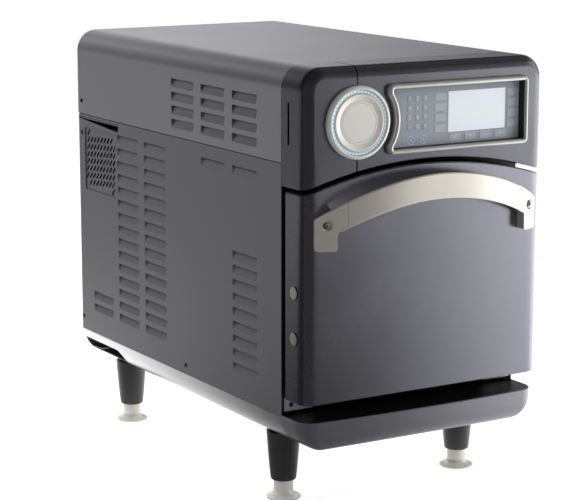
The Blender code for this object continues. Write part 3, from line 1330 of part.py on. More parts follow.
def make_badge():
    """The round ornament on the fascia: a rim, a ring of light inside it and a dished plain face."""
    inner = BADGE_RADIUS - BADGE_RIM
    bead = BADGE_RIM / 4
    crest = inner + bead
    flank = BADGE_HEIGHT * BADGE_FLANK_SHARE
    rim = [(inner, BADGE_HEIGHT - bead)]
    rim += [(crest + (BADGE_RADIUS - crest) * across, flank + (BADGE_HEIGHT - flank) * up)
            for across, up in arc((0, 0), 1, 90, 0, EDGE_STEPS)]
    rim += [(BADGE_RADIUS, GAP), (inner, GAP)]
    ring_outer = inner - GAP
    ring_inner = ring_outer - LIGHT_RING
    ring = [(ring_inner, LIGHT_HEIGHT), (ring_outer, LIGHT_HEIGHT), (ring_outer, GAP), (ring_inner, GAP)]
    disc = ring_inner - GAP
    edge = BADGE_HEIGHT - bead
    face = [(0, edge - BADGE_DISH), (disc / 2, edge - BADGE_DISH), (disc - 2 * bead, edge),
            (disc - bead, edge), (disc, edge - bead), (disc, GAP), (0, GAP)]
    for name, profile, closed, finish in (("badge_rim", rim, True, "nickel"),
                                          ("light_ring", ring, True, "light_plastic"),
                                          ("badge_face", face, False, "nickel")):
        mesh = turned_mesh(name, profile, 2 * TURN_STEPS, closed=closed)
        smooth(part(name, facing_front(mesh, BADGE_X, BADGE_Z), finish), 25)


def lcd_corners(margin):
    low = (LCD_X - LCD_WIDTH / 2 - margin, LCD_Z - LCD_HEIGHT / 2 - margin)
    return low, (LCD_X + LCD_WIDTH / 2 + margin, LCD_Z + LCD_HEIGHT / 2 + margin)


def key_outlines():
    """Every key of the overlay, as an outline in the front view."""
    keys = []
    for side in (-1, 1):
        for row in range(4):
            centre = (LCD_X + side * SOFT_KEY_OFFSET, LCD_TOP_KEY_Z - row * SOFT_KEY_PITCH)
            keys.append(key_box(centre, SOFT_KEY_WIDTH, SOFT_KEY_HEIGHT))
    for column in range(4):
        centre = (LCD_X + BOTTOM_KEY_SHIFT + (column - 3 / 2) * BOTTOM_KEY_PITCH, BOTTOM_KEY_Z)
        keys.append(key_box(centre, SOFT_KEY_WIDTH, SOFT_KEY_HEIGHT))
    for column in (-1, 0, 1):
        for row in range(4):
            centre = (NUMBER_KEY_X + column * NUMBER_KEY_PITCH,
                      NUMBER_KEY_Z + (3 / 2 - row) * NUMBER_KEY_ROW_PITCH)
            keys.append(key_box(centre, NUMBER_KEY_WIDTH, NUMBER_KEY_HEIGHT))
    for side in (-1, 1):
        centre = (NUMBER_KEY_X + side * ROUND_KEY_SPACING / 2, BOTTOM_KEY_Z)
        keys.append(circle(centre, ROUND_KEY_RADIUS, SMALL_STEPS))
    return keys


def key_box(centre, width, height):
    return rectangle((centre[0] - width / 2, centre[1] - height / 2),
                     (centre[0] + width / 2, centre[1] + height / 2))


def make_controls():
    """The bezel, the keypad overlay that sits in it, the display window and the board behind them."""
    rings = [[(x, y, z) for x, z in bezel_outline(inset)] for inset, y in bezel_section()]
    smooth(part("display_bezel", lofted_ring("display_bezel", rings), "nickel"))
    overlay_front = FACE_Y + OVERLAY_SETBACK
    overlay_rear = overlay_front + OVERLAY_SHEET
    loops = [bezel_outline(BEZEL_RIM + GAP), rectangle(*lcd_corners(0))]
    plate = prism_mesh("keypad_overlay", loops, overlay_front, overlay_rear, "front")
    overlay = part("keypad_overlay", plate, "overlay")
    keys = [prism_mesh("key", [outline], overlay_front - KEY_RISE, overlay_front + KEY_ROOT, "front")
            for outline in key_outlines()]
    join(overlay, tool(merged("keys", keys)))
    low, high = lcd_corners(-GAP)
    part("display_window", box_mesh("display_window", (low[0], overlay_front - KEY_RISE / 2, low[1]),
                                    (high[0], overlay_rear, high[1])), "screen")
    board_front = overlay_rear + GAP
    board_low = (BEZEL_LEFT_X + BOARD_OVERLAP, board_front, BEZEL_BOTTOM_Z + BOARD_OVERLAP)
    board_high = (BEZEL_RIGHT_X - BOARD_OVERLAP, board_front + BOARD_SHEET, BEZEL_TOP_Z - BOARD_OVERLAP)
    part("control_board", box_mesh("control_board", board_low, board_high), "circuit")


# Door

def door_outline():
    """Flat foot and sides with an arched top, from the left foot."""
    foot = [(-HALF_WIDTH, DOOR_BOTTOM_Z), (HALF_WIDTH, DOOR_BOTTOM_Z)]
    return foot + arch_points(HALF_WIDTH, DOOR_APEX_Z)[::-1]


def hinge_plate_span(side):
    """The X range of a hinge arm, between the door's side wall and its knuckle."""
    outer = HALF_WIDTH - FRONT_WALL - HINGE_PLATE_INSET / 2
    return sorted((side * outer, side * (outer - HINGE_PLATE)))


def knuckle_span(side):
    """The X range of a hinge knuckle, next to its arm."""
    outer = HALF_WIDTH - FRONT_WALL - HINGE_PLATE_INSET / 2 - HINGE_PLATE - GAP
    return sorted((side * outer, side * (outer - HINGE_KNUCKLE_WIDTH)))


def make_door_cover(door):
    outer, inside = shell_pair("door_cover", door_outline(), DOOR_REAR_Y, FRONT_WALL, front_uprights,
                               EDGE_RADIUS)
    cover = part("door_cover", outer, "charcoal_paint", origin=door.location, parent=door)
    add_bevel(cover, EDGE_RADIUS, EDGE_STEPS)
    guides = [inside]
    arm = HINGE_ARM_RADIUS + HINGE_SLOT_CLEARANCE
    for side in (-1, 1):
        low, high = hinge_plate_span(side)
        slot = box_mesh("hinge_slot", (low - HINGE_SLOT_CLEARANCE, HINGE_Y - arm, DOOR_BOTTOM_Z - OVERRUN),
                        (high + HINGE_SLOT_CLEARANCE, DOOR_REAR_Y + OVERRUN, DOOR_BOTTOM_Z + 2 * FRONT_WALL))
        guides.append(tool(slot))
        for z in (UPPER_PLUG_Z, LOWER_PLUG_Z):
            start = side * (HALF_WIDTH - 2 * FRONT_WALL)
            end = side * (HALF_WIDTH + OVERRUN)
            y = FACE_Y + PLUG_SETBACK
            guides.append(tool(rod_mesh("plug_hole", (start, y, z), (end, y, z), PLUG_STEM_RADIUS + GAP,
                                        TURN_STEPS)))
    cut(cover, *guides)
    smooth(cover)


def make_door_plugs(door):
    """Two plugs on each side of the door: a flat head outside and a stem through the wall."""
    head = PLUG_HEAD + GAP
    profile = [(0, head), (PLUG_RADIUS - PLUG_HEAD, head), (PLUG_RADIUS, head - PLUG_HEAD / 2),
               (PLUG_RADIUS, GAP), (PLUG_STEM_RADIUS, GAP), (PLUG_STEM_RADIUS, -FRONT_WALL),
               (0, -FRONT_WALL)]
    for side, hand in ((-1, "left"), (1, "right")):
        for z, level in ((UPPER_PLUG_Z, "upper"), (LOWER_PLUG_Z, "lower")):
            name = f"door_plug_{hand}_{level}"
            mesh = turned_mesh(name, profile, TURN_STEPS)
            mesh = turned_to(mesh, (side, 0, 0), (side * HALF_WIDTH, FACE_Y + PLUG_SETBACK, z))
            smooth(part(name, mesh, "stainless", origin=door.location, parent=door))


def pan_outline(inset):
    """The inner pan in front view: narrower near its foot to pass between the hinges."""
    side = HALF_WIDTH - FRONT_WALL - GAP - inset
    foot = HALF_WIDTH - FRONT_WALL - PAN_FOOT_INSET - inset
    low = DOOR_BOTTOM_Z + PAN_FLOOR_RISE + inset
    step = low + PAN_FOOT_HEIGHT
    top = PAN_TOP_Z - inset
    shoulder = step - PAN_SHOULDER_SLOPE
    return [(-foot, low), (foot, low), (foot, shoulder), (side, step), (side, top), (-side, top),
            (-side, step), (-foot, shoulder)]


def make_door_inner(door):
    """The stainless pan that closes the door's rear, the microwave choke plate and the seal on it."""
    origin = door.location
    front = PAN_REAR_Y - PAN_DEPTH
    pan = part("door_inner_pan", prism_mesh("door_inner_pan", [pan_outline(0)], front, PAN_REAR_Y, "front"),
               "stainless", origin=origin, parent=door)
    inside = prism_mesh("pan_inside", [pan_outline(PAN_SHEET)], front - OVERRUN, PAN_REAR_Y - PAN_SHEET,
                        "front")
    cut(pan, tool(inside))
    half = CHAMBER_WIDTH / 2
    face = PAN_REAR_Y + GAP
    choke = box_mesh("door_choke_plate", (CHOKE_INSET - half, face, CHAMBER_FLOOR_Z + CHOKE_INSET),
                     (half - CHOKE_INSET, face + CHOKE_DEPTH, CHAMBER_ROOF_Z - CHOKE_INSET))
    part("door_choke_plate", choke, "stainless", origin=origin, parent=door)
    reach = half + SEAL_OUTSET
    outer = rectangle((-reach, CHAMBER_FLOOR_Z - SEAL_OUTSET), (reach, CHAMBER_ROOF_Z + SEAL_OUTSET))
    inner = moved_sideways(outer, SEAL_WIDTH, closed=True)
    loops = [rounded(outer, [SEAL_WIDTH] * 4, CORNER_STEPS), inner]
    seal = prism_mesh("door_seal", loops, face, FRAME_FRONT_Y - GAP, "front")
    part("door_seal", seal, "silicone", origin=origin, parent=door)


def make_hinges(door):
    """On each side an arm with its pin, fixed to the front frame, and the knuckle in the door."""
    for side, hand in ((-1, "left"), (1, "right")):
        low, high = hinge_plate_span(side)
        rear = FRAME_FRONT_Y - GAP
        outline = [(rear, HINGE_Z + HINGE_ARM_RADIUS)]
        outline += arc((HINGE_Y, HINGE_Z), HINGE_ARM_RADIUS, 90, 270, BIG_CORNER_STEPS)
        outline += [(rear, HINGE_Z - HINGE_ARM_RADIUS)]
        flat_arm = prism_mesh("hinge_arm_" + hand, [outline], low, high, "side")
        arm = part("hinge_arm_" + hand, flat_arm, "stainless")
        near, far = knuckle_span(side)
        pin_end = near + GAP if side > 0 else far - GAP
        pin_start = (low + high) / 2
        join(arm, tool(rod_mesh("hinge_pin", (pin_start, HINGE_Y, HINGE_Z), (pin_end, HINGE_Y, HINGE_Z),
                                HINGE_PIN_RADIUS, BORE_STEPS)))
        floor = DOOR_BOTTOM_Z + FRONT_WALL + GAP
        half = HINGE_KNUCKLE_LENGTH / 2
        corners = rectangle((HINGE_Y - half, floor), (HINGE_Y + half, floor + HINGE_KNUCKLE_HEIGHT))
        loops = [corners, circle((HINGE_Y, HINGE_Z), HINGE_PIN_RADIUS + GAP, BORE_STEPS)]
        knuckle = prism_mesh("hinge_knuckle_" + hand, loops, near, far, "side")
        part("hinge_knuckle_" + hand, knuckle, "galvanised", origin=door.location, parent=door)


# Handle

def handle_top(x):
    return HANDLE_TOP_Z - (HANDLE_ARCH_RADIUS - math.sqrt(HANDLE_ARCH_RADIUS ** 2 - x ** 2))


def handle_front(x):
    """Y of the handle's front surface: it bows away from the door towards the middle."""
    fall = (HANDLE_REACH - HANDLE_END_REACH) * (abs(x) / HANDLE_HALF_LENGTH) ** HANDLE_BOW_POWER_SHARE
    return FACE_Y - HANDLE_REACH + fall


def spread(low, high, steps):
    return [low + (high - low) * step / steps for step in range(steps + 1)]


def bar_plan(low, high, steps):
    """The bowed band that the bar fills in plan, between two X values."""
    front = [(x, handle_front(x)) for x in spread(low, high, steps)]
    return front + [(x, y + HANDLE_THICKNESS) for x, y in front[::-1]]


def make_handle_bar(door):
    edge = HANDLE_SEAM_X - GAP / 2
    upper = [(x, handle_top(x)) for x in spread(-edge, edge, HANDLE_STEPS)]
    lower = [(x, handle_top(x) - HANDLE_WIDTH) for x in spread(-edge, edge, HANDLE_STEPS)]
    front_view = lower + upper[::-1]
    mesh = prism_mesh("handle_bar", [front_view], FACE_Y - HANDLE_REACH - OVERRUN, FACE_Y, "front")
    bar = part("handle_bar", mesh, "nickel", origin=door.location, parent=door)
    low_z = HANDLE_FOOT_Z - OVERRUN
    band = prism_mesh("handle_bow", [bar_plan(-edge - OVERRUN, edge + OVERRUN, HANDLE_STEPS)], low_z,
                      HANDLE_TOP_Z + OVERRUN, "plan")
    keep_common(bar, tool(band))
    smooth(bar)


def make_handle_bracket(door, hand, side):
    """An end piece that carries on the bar's arch, drops to a foot and stands on the door."""
    seam = HANDLE_SEAM_X + GAP / 2
    end = HANDLE_HALF_LENGTH
    few = CORNER_STEPS
    upper = [(x, handle_top(x)) for x in spread(end, seam, few)]
    inner = [(x, handle_top(x) - HANDLE_WIDTH) for x in spread(seam, HANDLE_FOOT_X, few // 2)]
    view = [(end, HANDLE_FOOT_Z)] + upper + inner + [(HANDLE_FOOT_X, HANDLE_FOOT_Z)]
    front_view = [(side * x, z) for x, z in view]
    low_y = FACE_Y - HANDLE_REACH - OVERRUN
    mesh = prism_mesh("handle_bracket_" + hand, [front_view], low_y, FACE_Y, "front")
    bracket = part("handle_bracket_" + hand, mesh, "nickel", origin=door.location, parent=door)
    front = [(x, handle_front(x)) for x in spread(seam - OVERRUN, end + OVERRUN, BIG_CORNER_STEPS)]
    foot = [(end + OVERRUN, FACE_Y - GAP), (HANDLE_FOOT_X, FACE_Y - GAP)]
    inner_places = spread(HANDLE_FOOT_X, seam - OVERRUN, few // 2)
    inside = [(x, handle_front(x) + HANDLE_THICKNESS) for x in inner_places]
    plan = [(side * x, min(y, FACE_Y - GAP)) for x, y in front + foot + inside]
    solid = prism_mesh("bracket_plan", [plan], HANDLE_FOOT_Z - OVERRUN, HANDLE_TOP_Z + OVERRUN, "plan")
    recess_y = handle_front(HANDLE_SCREW_X)
    recess = rod_mesh("screw_recess", (side * HANDLE_SCREW_X, recess_y - OVERRUN, HANDLE_SCREW_Z),
                      (side * HANDLE_SCREW_X, recess_y + HANDLE_SCREW_DEPTH, HANDLE_SCREW_Z),
                      HANDLE_SCREW_RADIUS, BORE_STEPS)
    keep_common(bracket, tool(solid))
    cut(bracket, tool(recess))
    smooth(bracket)


# Crumb tray

def tray_front_y(x):
    """The tray's front in plan, bowed forward in the middle."""
    return FACE_Y - TRAY_BOW_FORWARD + TRAY_BOW * (x / HALF_WIDTH) ** 2


def make_tray(tray):
    """The moulded front that carries on the base's round edges, and the sheet pan behind it."""
    corner = HALF_WIDTH - TRAY_CORNER_RADIUS
    shoulder = tray_front_y(corner) + TRAY_CORNER_RADIUS
    plan = [(HALF_WIDTH, TRAY_REAR_Y), (-HALF_WIDTH, TRAY_REAR_Y)]
    plan += arc((-corner, shoulder), TRAY_CORNER_RADIUS, 180, 270, CORNER_STEPS)
    plan += [(x, tray_front_y(x)) for x in spread(-corner, corner, ARCH_STEPS)[1:-1]]
    plan += arc((corner, shoulder), TRAY_CORNER_RADIUS, 270, 360, CORNER_STEPS)
    mesh = prism_mesh("tray_front", [plan], BASE_BOTTOM_Z, TRAY_TOP_Z, "plan")
    front = part("tray_front", mesh, "charcoal_paint", origin=tray.location, parent=tray)
    section = base_path()[1:-1]
    section = [(-HALF_WIDTH, TRAY_TOP_Z + OVERRUN)] + section + [(HALF_WIDTH, TRAY_TOP_Z + OVERRUN)]
    sides = prism_mesh("tray_sides", [section], FACE_Y - FRONT_THICKNESS, TRAY_REAR_Y + OVERRUN, "front")
    face = FACE_Y - TRAY_BOW_FORWARD
    profile = rounded([(face, BASE_BOTTOM_Z), (TRAY_REAR_Y + OVERRUN, BASE_BOTTOM_Z),
                       (TRAY_REAR_Y + OVERRUN, TRAY_TOP_Z + OVERRUN), (face, TRAY_TOP_Z + OVERRUN)],
                      [TRAY_FRONT_EDGE_RADIUS, 0, 0, 0], CORNER_STEPS)
    edge = prism_mesh("tray_edge", [profile], -BODY_WIDTH, BODY_WIDTH, "side")
    keep_common(front, tool(sides), tool(edge))
    smooth(front)
    pan_front = TRAY_REAR_Y + GAP
    half = TRAY_PAN_WIDTH / 2
    floor = BASE_BOTTOM_Z + SHEET + GAP
    radii = [0, 0, TRAY_PAN_CORNER_RADIUS, TRAY_PAN_CORNER_RADIUS]
    corners = rectangle((-half, pan_front), (half, pan_front + TRAY_PAN_LENGTH))
    outline = rounded(corners, radii, CORNER_STEPS)
    pan = part("tray_pan", prism_mesh("tray_pan", [outline], floor, floor + TRAY_PAN_HEIGHT, "plan"),
               "galvanised", origin=tray.location, parent=tray)
    inner = moved_sideways(outline, TRAY_PAN_SHEET, closed=True)
    cut(pan, tool(prism_mesh("tray_pan_inside", [inner], floor + TRAY_PAN_SHEET,
                             floor + TRAY_PAN_HEIGHT + OVERRUN, "plan")))


def empty(name, location):
    """An axis mark that moving pieces hang from."""
    mark = bpy.data.objects.new(name, None)
    mark.location = location
    mark.empty_display_size = HINGE_ARM_RADIUS
    PARTS.objects.link(mark)
    return mark


def make_oven():
    make_base_pan()
    make_top_cover()
    make_side_panel("side_panel_left", -1)
    make_side_panel("side_panel_right", 1)
    make_fan_grille()
    make_back_panel()
    make_cord_gland()
    make_legs_and_feet()
    make_front_frame()
    make_cook_chamber()
    make_insulation()
    make_oven_rack()
    make_jetplate("lower_jetplate", LOWER_JETPLATE_Z)
    make_jetplate("upper_jetplate", UPPER_JETPLATE_Z)
    make_blower_housing()
    for name, centre in BLOWERS.items():
        make_blower(name, centre)
    make_waveguide()
    make_stirrer()
    make_magnetron()
    make_component_shelf()
    make_transformer()
    make_capacitor()
    make_cooling_fan()
    make_fascia()
    make_badge()
    make_controls()
    door = empty("door_axis", (0, HINGE_Y, HINGE_Z))
    make_door_cover(door)
    make_door_plugs(door)
    make_door_inner(door)
    make_hinges(door)
    make_handle_bar(door)
    make_handle_bracket(door, "left", -1)
    make_handle_bracket(door, "right", 1)
    make_tray(empty("tray_slide", (0, TRAY_REAR_Y, BASE_BOTTOM_Z)))


clear_scene()
PARTS = new_collection("speed_oven")
TOOLS = new_collection("speed_oven_guides")
make_oven()
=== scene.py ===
"""The looks of a countertop speed oven, laid over its fixed CAD frame, with a studio round it."""

import json
import logging
import math
from dataclasses import dataclass, field, replace
from enum import Enum

import bmesh
import bpy
import numpy as np
from mathutils import Matrix, Vector
from mathutils.geometry import tessellate_polygon

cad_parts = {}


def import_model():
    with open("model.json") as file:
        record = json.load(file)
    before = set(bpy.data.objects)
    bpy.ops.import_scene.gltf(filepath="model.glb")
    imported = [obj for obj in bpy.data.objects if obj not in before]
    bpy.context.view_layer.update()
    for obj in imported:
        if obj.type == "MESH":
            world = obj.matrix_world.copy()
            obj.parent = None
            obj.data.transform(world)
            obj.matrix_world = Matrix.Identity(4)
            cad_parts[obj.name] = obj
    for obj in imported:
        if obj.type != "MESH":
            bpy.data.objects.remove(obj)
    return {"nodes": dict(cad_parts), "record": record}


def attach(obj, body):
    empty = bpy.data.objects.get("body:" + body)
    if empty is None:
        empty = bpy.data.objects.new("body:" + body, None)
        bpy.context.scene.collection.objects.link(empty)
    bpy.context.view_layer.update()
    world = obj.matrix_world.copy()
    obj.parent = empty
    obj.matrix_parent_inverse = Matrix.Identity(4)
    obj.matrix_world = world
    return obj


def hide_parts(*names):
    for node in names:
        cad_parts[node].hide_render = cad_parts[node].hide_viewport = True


LOG = logging.getLogger("speed_oven")

# Short names for the types that the hints use.
Tree, Socket, Node = bpy.types.NodeTree, bpy.types.NodeSocket, bpy.types.Node
Piece, Mesh, Array = bpy.types.Object, bpy.types.Mesh, np.ndarray
Pair, Triple = tuple[float, float], tuple[float, float, float]

# In metres: points closer together than WELD become one, grid lines closer than LINE_GAP become one, and a value
# within NEAR of a limit counts as at it.
WELD, LINE_GAP, NEAR = 2e-6, 1e-5, 1e-6

# Sizes that several sub-assemblies share: half the oven's width, its top and the radius of its shoulders, the
# plane of its front and the radius of the edge rolled round it, and the play between parts that sit in each other.
HALF_WIDTH, TOP, SHOULDER = 0.2015, 0.640, 0.033
FACE, ROLLED_EDGE, PLAY = -0.3410, 0.016, 0.0003

# Angle in degrees past which an edge of a broad moulding or casting stays crisp.
BROAD_CREASE = 40

AHEAD, BACK, DOWN, UP = (0, -1, 0), (0, 1, 0), (0, 0, -1), (0, 0, 1)
SIDES = ((-1, "left"), (1, "right"))


# Node and colour helpers


def linear(code: str) -> tuple[float, float, float, float]:
    """Turn an sRGB hex colour into linear RGBA.

    Each channel c becomes c / 12.92 below 0.04045, and ((c + 0.055) / 1.055) ** 2.4 above it.

    Args:
        code: The colour as "#rrggbb".

    Returns:
        Red, green, blue and an alpha of 1.
    """
    values = [int(code[i : i + 2], 16) / 255 for i in (1, 3, 5)]
    red, green, blue = (c / 12.92 if c <= 0.04045 else ((c + 0.055) / 1.055) ** 2.4 for c in values)
    return red, green, blue, 1.0


def feed(tree: Tree, node: Node, inputs: dict) -> Node:
    """Link or set a node's inputs.

    Args:
        tree: The node's tree.
        node: The node.
        inputs: Values or output sockets by input name or number.

    Returns:
        The node.
    """
    for key, value in inputs.items():
        if isinstance(value, Socket):
            tree.links.new(value, node.inputs[key])
        else:
            node.inputs[key].default_value = value
    return node


def add_node(tree: Tree, kind: str, inputs: dict | None = None, **settings: object) -> Node:
    """Add one shader node with its settings, values and links.

    Args:
        tree: The node tree that gets the node.
        kind: The node's type without the word ShaderNode.
        inputs: Values or output sockets by input name or number.
        settings: Properties of the node itself.

    Returns:
        The new node.
    """
    node = tree.nodes.new("ShaderNode" + kind)
    for key, value in settings.items():
        setattr(node, key, value)
    return feed(tree, node, inputs or {})


# Finishes


class Lay(Enum):
    """The direction in which a metal was brushed, as the stretch of its grain along X, Y and Z."""

    ALONG_X = (0.012, 1.0, 1.0)
    ALONG_Y = (1.0, 0.012, 1.0)
    ALONG_Z = (1.0, 1.0, 0.012)
    NONE = (1.0, 1.0, 1.0)


@dataclass(frozen=True)
class Finish:
    """What every finish has: its name, two close tones that its surface drifts between, and its gloss."""

    name: str
    dark: str
    light: str
    roughness: float
    roughness_drift: float = 0.06
    drift_size: float = 0.09

    def material(self) -> bpy.types.Material:
        """Return this finish's material, made the first time that it is asked for."""
        found = bpy.data.materials.get(self.name)
        if found is None:
            found = bpy.data.materials.new(self.name)
            found.use_nodes = True
            tree = found.node_tree
            place = add_node(tree, "TexCoord").outputs["Object"]
            feed(tree, tree.nodes["Principled BSDF"], self.dress(tree, place))
        return found

    def dress(self, tree: Tree, place: Socket) -> dict:
        """Build the finish's nodes. Each kind of finish has its own.

        Args:
            tree: The node tree.
            place: The object's coordinates, in metres.

        Returns:
            The shader's inputs by name.
        """
        raise NotImplementedError

    def drift(self, tree: Tree, place: Socket) -> Socket:
        """Return a soft noise with clouds of the finish's drift size, in metres."""
        inputs = {"Vector": place, "Scale": 1 / self.drift_size, "Detail": 3.0, "Roughness": 0.5}
        return add_node(tree, "TexNoise", inputs).outputs["Fac"]

    def mean(self, tree: Tree, first: Socket, second: Socket) -> Socket:
        """Return the mean of two patterns."""
        blend = add_node(tree, "Math", {0: first, 1: second}, operation="ADD").outputs[0]
        return add_node(tree, "Math", {0: blend, 1: 0.5}, operation="MULTIPLY").outputs[0]

    def tones(self, tree: Tree, factor: Socket) -> Socket:
        """Return the finish's colour between its dark and its light tone."""
        inputs = {"Factor": factor, 6: linear(self.dark), 7: linear(self.light)}
        return add_node(tree, "Mix", inputs, data_type="RGBA").outputs[2]

    def gloss(self, tree: Tree, factor: Socket) -> Socket:
        """Return a roughness that drifts round the finish's own."""
        low, high = self.roughness - self.roughness_drift, self.roughness + self.roughness_drift
        return add_node(tree, "MapRange", {"Value": factor, "To Min": low, "To Max": high}).outputs["Result"]

    def skin(self, tree: Tree, patterns: tuple[Socket, Socket, Socket], depth: float, strength: float = 0.5,
             metal: float = 0.0) -> dict:
        """Return the shader's inputs for a coloured skin with a relief.

        Args:
            tree: The node tree.
            patterns: What its colour, its gloss and its relief follow, each from 0 to 1.
            depth: The relief's real depth in metres.
            strength: How much of the relief shows.
            metal: How metallic the skin is.

        Returns:
            The inputs by name.
        """
        tone, sheen, relief = patterns
        bump = add_node(tree, "Bump", {"Height": relief, "Distance": depth, "Strength": strength})
        return {"Base Color": self.tones(tree, tone), "Roughness": self.gloss(tree, sheen),
                "Normal": bump.outputs["Normal"], "Metallic": metal}


@dataclass(frozen=True)
class PowderCoat(Finish):
    """Baked polyester powder on steel with fine metal flake: an orange-peel skin with a soft sheen."""

    peel_size: float = 0.0016
    peel_depth: float = 0.00006
    flake: float = 0.35

    def dress(self, tree: Tree, place: Socket) -> dict:
        """Mottle the colour with flakes, and raise the orange peel."""
        peel = {"Vector": place, "Scale": 1 / self.peel_size, "Detail": 2.0, "Roughness": 0.6}
        grain = add_node(tree, "TexNoise", peel).outputs["Fac"]
        flakes = self.mean(tree, self.drift(tree, place), grain)
        return self.skin(tree, (flakes, flakes, grain), self.peel_depth, metal=self.flake)


@dataclass(frozen=True)
class BrushedMetal(Finish):
    """Metal drawn over a belt: fine parallel lines that stretch each highlight across them."""

    lay: Lay = Lay.ALONG_X
    line_size: float = 0.0007
    relief: float = 0.00003
    metal: float = 1.0

    def dress(self, tree: Tree, place: Socket) -> dict:
        """Stretch a fine noise along the lay for colour, gloss and relief."""
        stretched = add_node(tree, "Mapping", {"Vector": place, "Scale": self.lay.value}).outputs["Vector"]
        lines = {"Vector": stretched, "Scale": 1 / self.line_size, "Detail": 2.0, "Roughness": 0.6}
        grain = add_node(tree, "TexNoise", lines).outputs["Fac"]
        tone = self.mean(tree, self.drift(tree, place), grain)
        return self.skin(tree, (tone, grain, grain), self.relief, metal=self.metal)


@dataclass(frozen=True)
class RoundFinish(Finish):
    """A finish whose pattern runs round an axis along Y."""

    middle: Triple = (0.0, 0.0, 0.0)

    def from_axis(self, tree: Tree, place: Socket) -> tuple[Socket, Socket]:
        """Return the way from the axis to the place, and its length r = sqrt(x ** 2 + z ** 2)."""
        moved = {"Vector": place, "Location": tuple(-c for c in self.middle)}
        centred = add_node(tree, "Mapping", moved).outputs["Vector"]
        flat = add_node(tree, "VectorMath", {0: centred, 1: (1.0, 0.0, 1.0)}, operation="MULTIPLY").outputs[0]
        return flat, add_node(tree, "VectorMath", {0: flat}, operation="LENGTH").outputs["Value"]


@dataclass(frozen=True)
class SpunMetal(RoundFinish):
    """A disc turned on a lathe: fine rings round its own middle."""

    ring_size: float = 0.0009
    relief: float = 0.00005
    metal: float = 0.75

    def dress(self, tree: Tree, place: Socket) -> dict:
        """Read a noise over the distance from the disc's axis."""
        rings = {"W": self.from_axis(tree, place)[1], "Scale": 1 / self.ring_size, "Detail": 1.0}
        grain = add_node(tree, "TexNoise", rings, noise_dimensions="1D").outputs["Fac"]
        return self.skin(tree, (grain, grain, grain), self.relief, metal=self.metal)


@dataclass(frozen=True)
class Spangled(Finish):
    """Hot-dip galvanised steel: flat zinc crystals that each catch the light their own way."""

    crystal_size: float = 0.007
    relief: float = 0.00002
    metal: float = 0.9

    def dress(self, tree: Tree, place: Socket) -> dict:
        """Give each cell of a Voronoi pattern its own tone and gloss."""
        cells = {"Vector": place, "Scale": 1 / self.crystal_size, "Randomness": 1.0}
        crystals = add_node(tree, "TexVoronoi", cells).outputs["Color"]
        tone = add_node(tree, "SeparateColor", {0: crystals}).outputs[0]
        return self.skin(tree, (tone, tone, tone), self.relief, 0.3, self.metal)


@dataclass(frozen=True)
class Moulded(Finish):
    """A moulded plastic or rubber skin with the fine grain of its mould."""

    grain_size: float = 0.0012
    grain_depth: float = 0.00003

    def dress(self, tree: Tree, place: Socket) -> dict:
        """Raise the mould's grain and let colour and gloss drift."""
        clouds = self.drift(tree, place)
        fine = {"Vector": place, "Scale": 1 / self.grain_size, "Detail": 2.0}
        grain = add_node(tree, "TexNoise", fine).outputs["Fac"]
        return self.skin(tree, (clouds, clouds, grain), self.grain_depth, 0.4)


@dataclass(frozen=True)
class LightGuide(RoundFinish):
    """A milky acrylic ring over a circle of diodes: small bright beads that fade round the ring."""

    bead_radius: float = 0.0433
    bead_width: float = 0.0013
    diodes: int = 48
    bead_span: Pair = (-0.3, 0.9)
    lit_side: Triple = (-0.8, 0.0, 0.6)
    dim_share: float = 0.5

    def dress(self, tree: Tree, place: Socket) -> dict:
        """Repeat a bead round the ring.

        A bead is sin(n * atan2(z, x)), lifted to 0 ... 1, times 1 - |r - r0| / w. The beads glow most on one side.
        """
        flat, radius = self.from_axis(tree, place)
        parts = add_node(tree, "SeparateXYZ", {0: flat}).outputs
        angle = add_node(tree, "Math", {0: parts["Z"], 1: parts["X"]}, operation="ARCTAN2").outputs[0]
        turns = add_node(tree, "Math", {0: angle, 1: float(self.diodes)}, operation="MULTIPLY").outputs[0]
        wave = add_node(tree, "Math", {0: turns}, operation="SINE").outputs[0]
        inputs = {"Value": wave, "From Min": self.bead_span[0], "From Max": self.bead_span[1]}
        bead = add_node(tree, "MapRange", inputs).outputs["Result"]
        off = add_node(tree, "Math", {0: radius, 1: self.bead_radius}, operation="SUBTRACT").outputs[0]
        away = add_node(tree, "Math", {0: off}, operation="ABSOLUTE").outputs[0]
        inputs = {"Value": away, "From Max": self.bead_width, "To Min": 1.0, "To Max": 0.0}
        across = add_node(tree, "MapRange", inputs).outputs["Result"]
        dot = add_node(tree, "Math", {0: bead, 1: across}, operation="MULTIPLY").outputs[0]
        side = add_node(tree, "VectorMath", {0: flat, 1: self.lit_side}, operation="DOT_PRODUCT").outputs["Value"]
        inputs = {"Value": side, "From Min": -self.bead_radius, "From Max": self.bead_radius,
                  "To Min": self.dim_share}
        share = add_node(tree, "MapRange", inputs).outputs["Result"]
        lit = add_node(tree, "Math", {0: dot, 1: share}, operation="MULTIPLY").outputs[0]
        return {"Base Color": self.tones(tree, dot), "Roughness": self.gloss(tree, self.drift(tree, place)),
                "Emission Color": linear(self.light), "Emission Strength": lit}


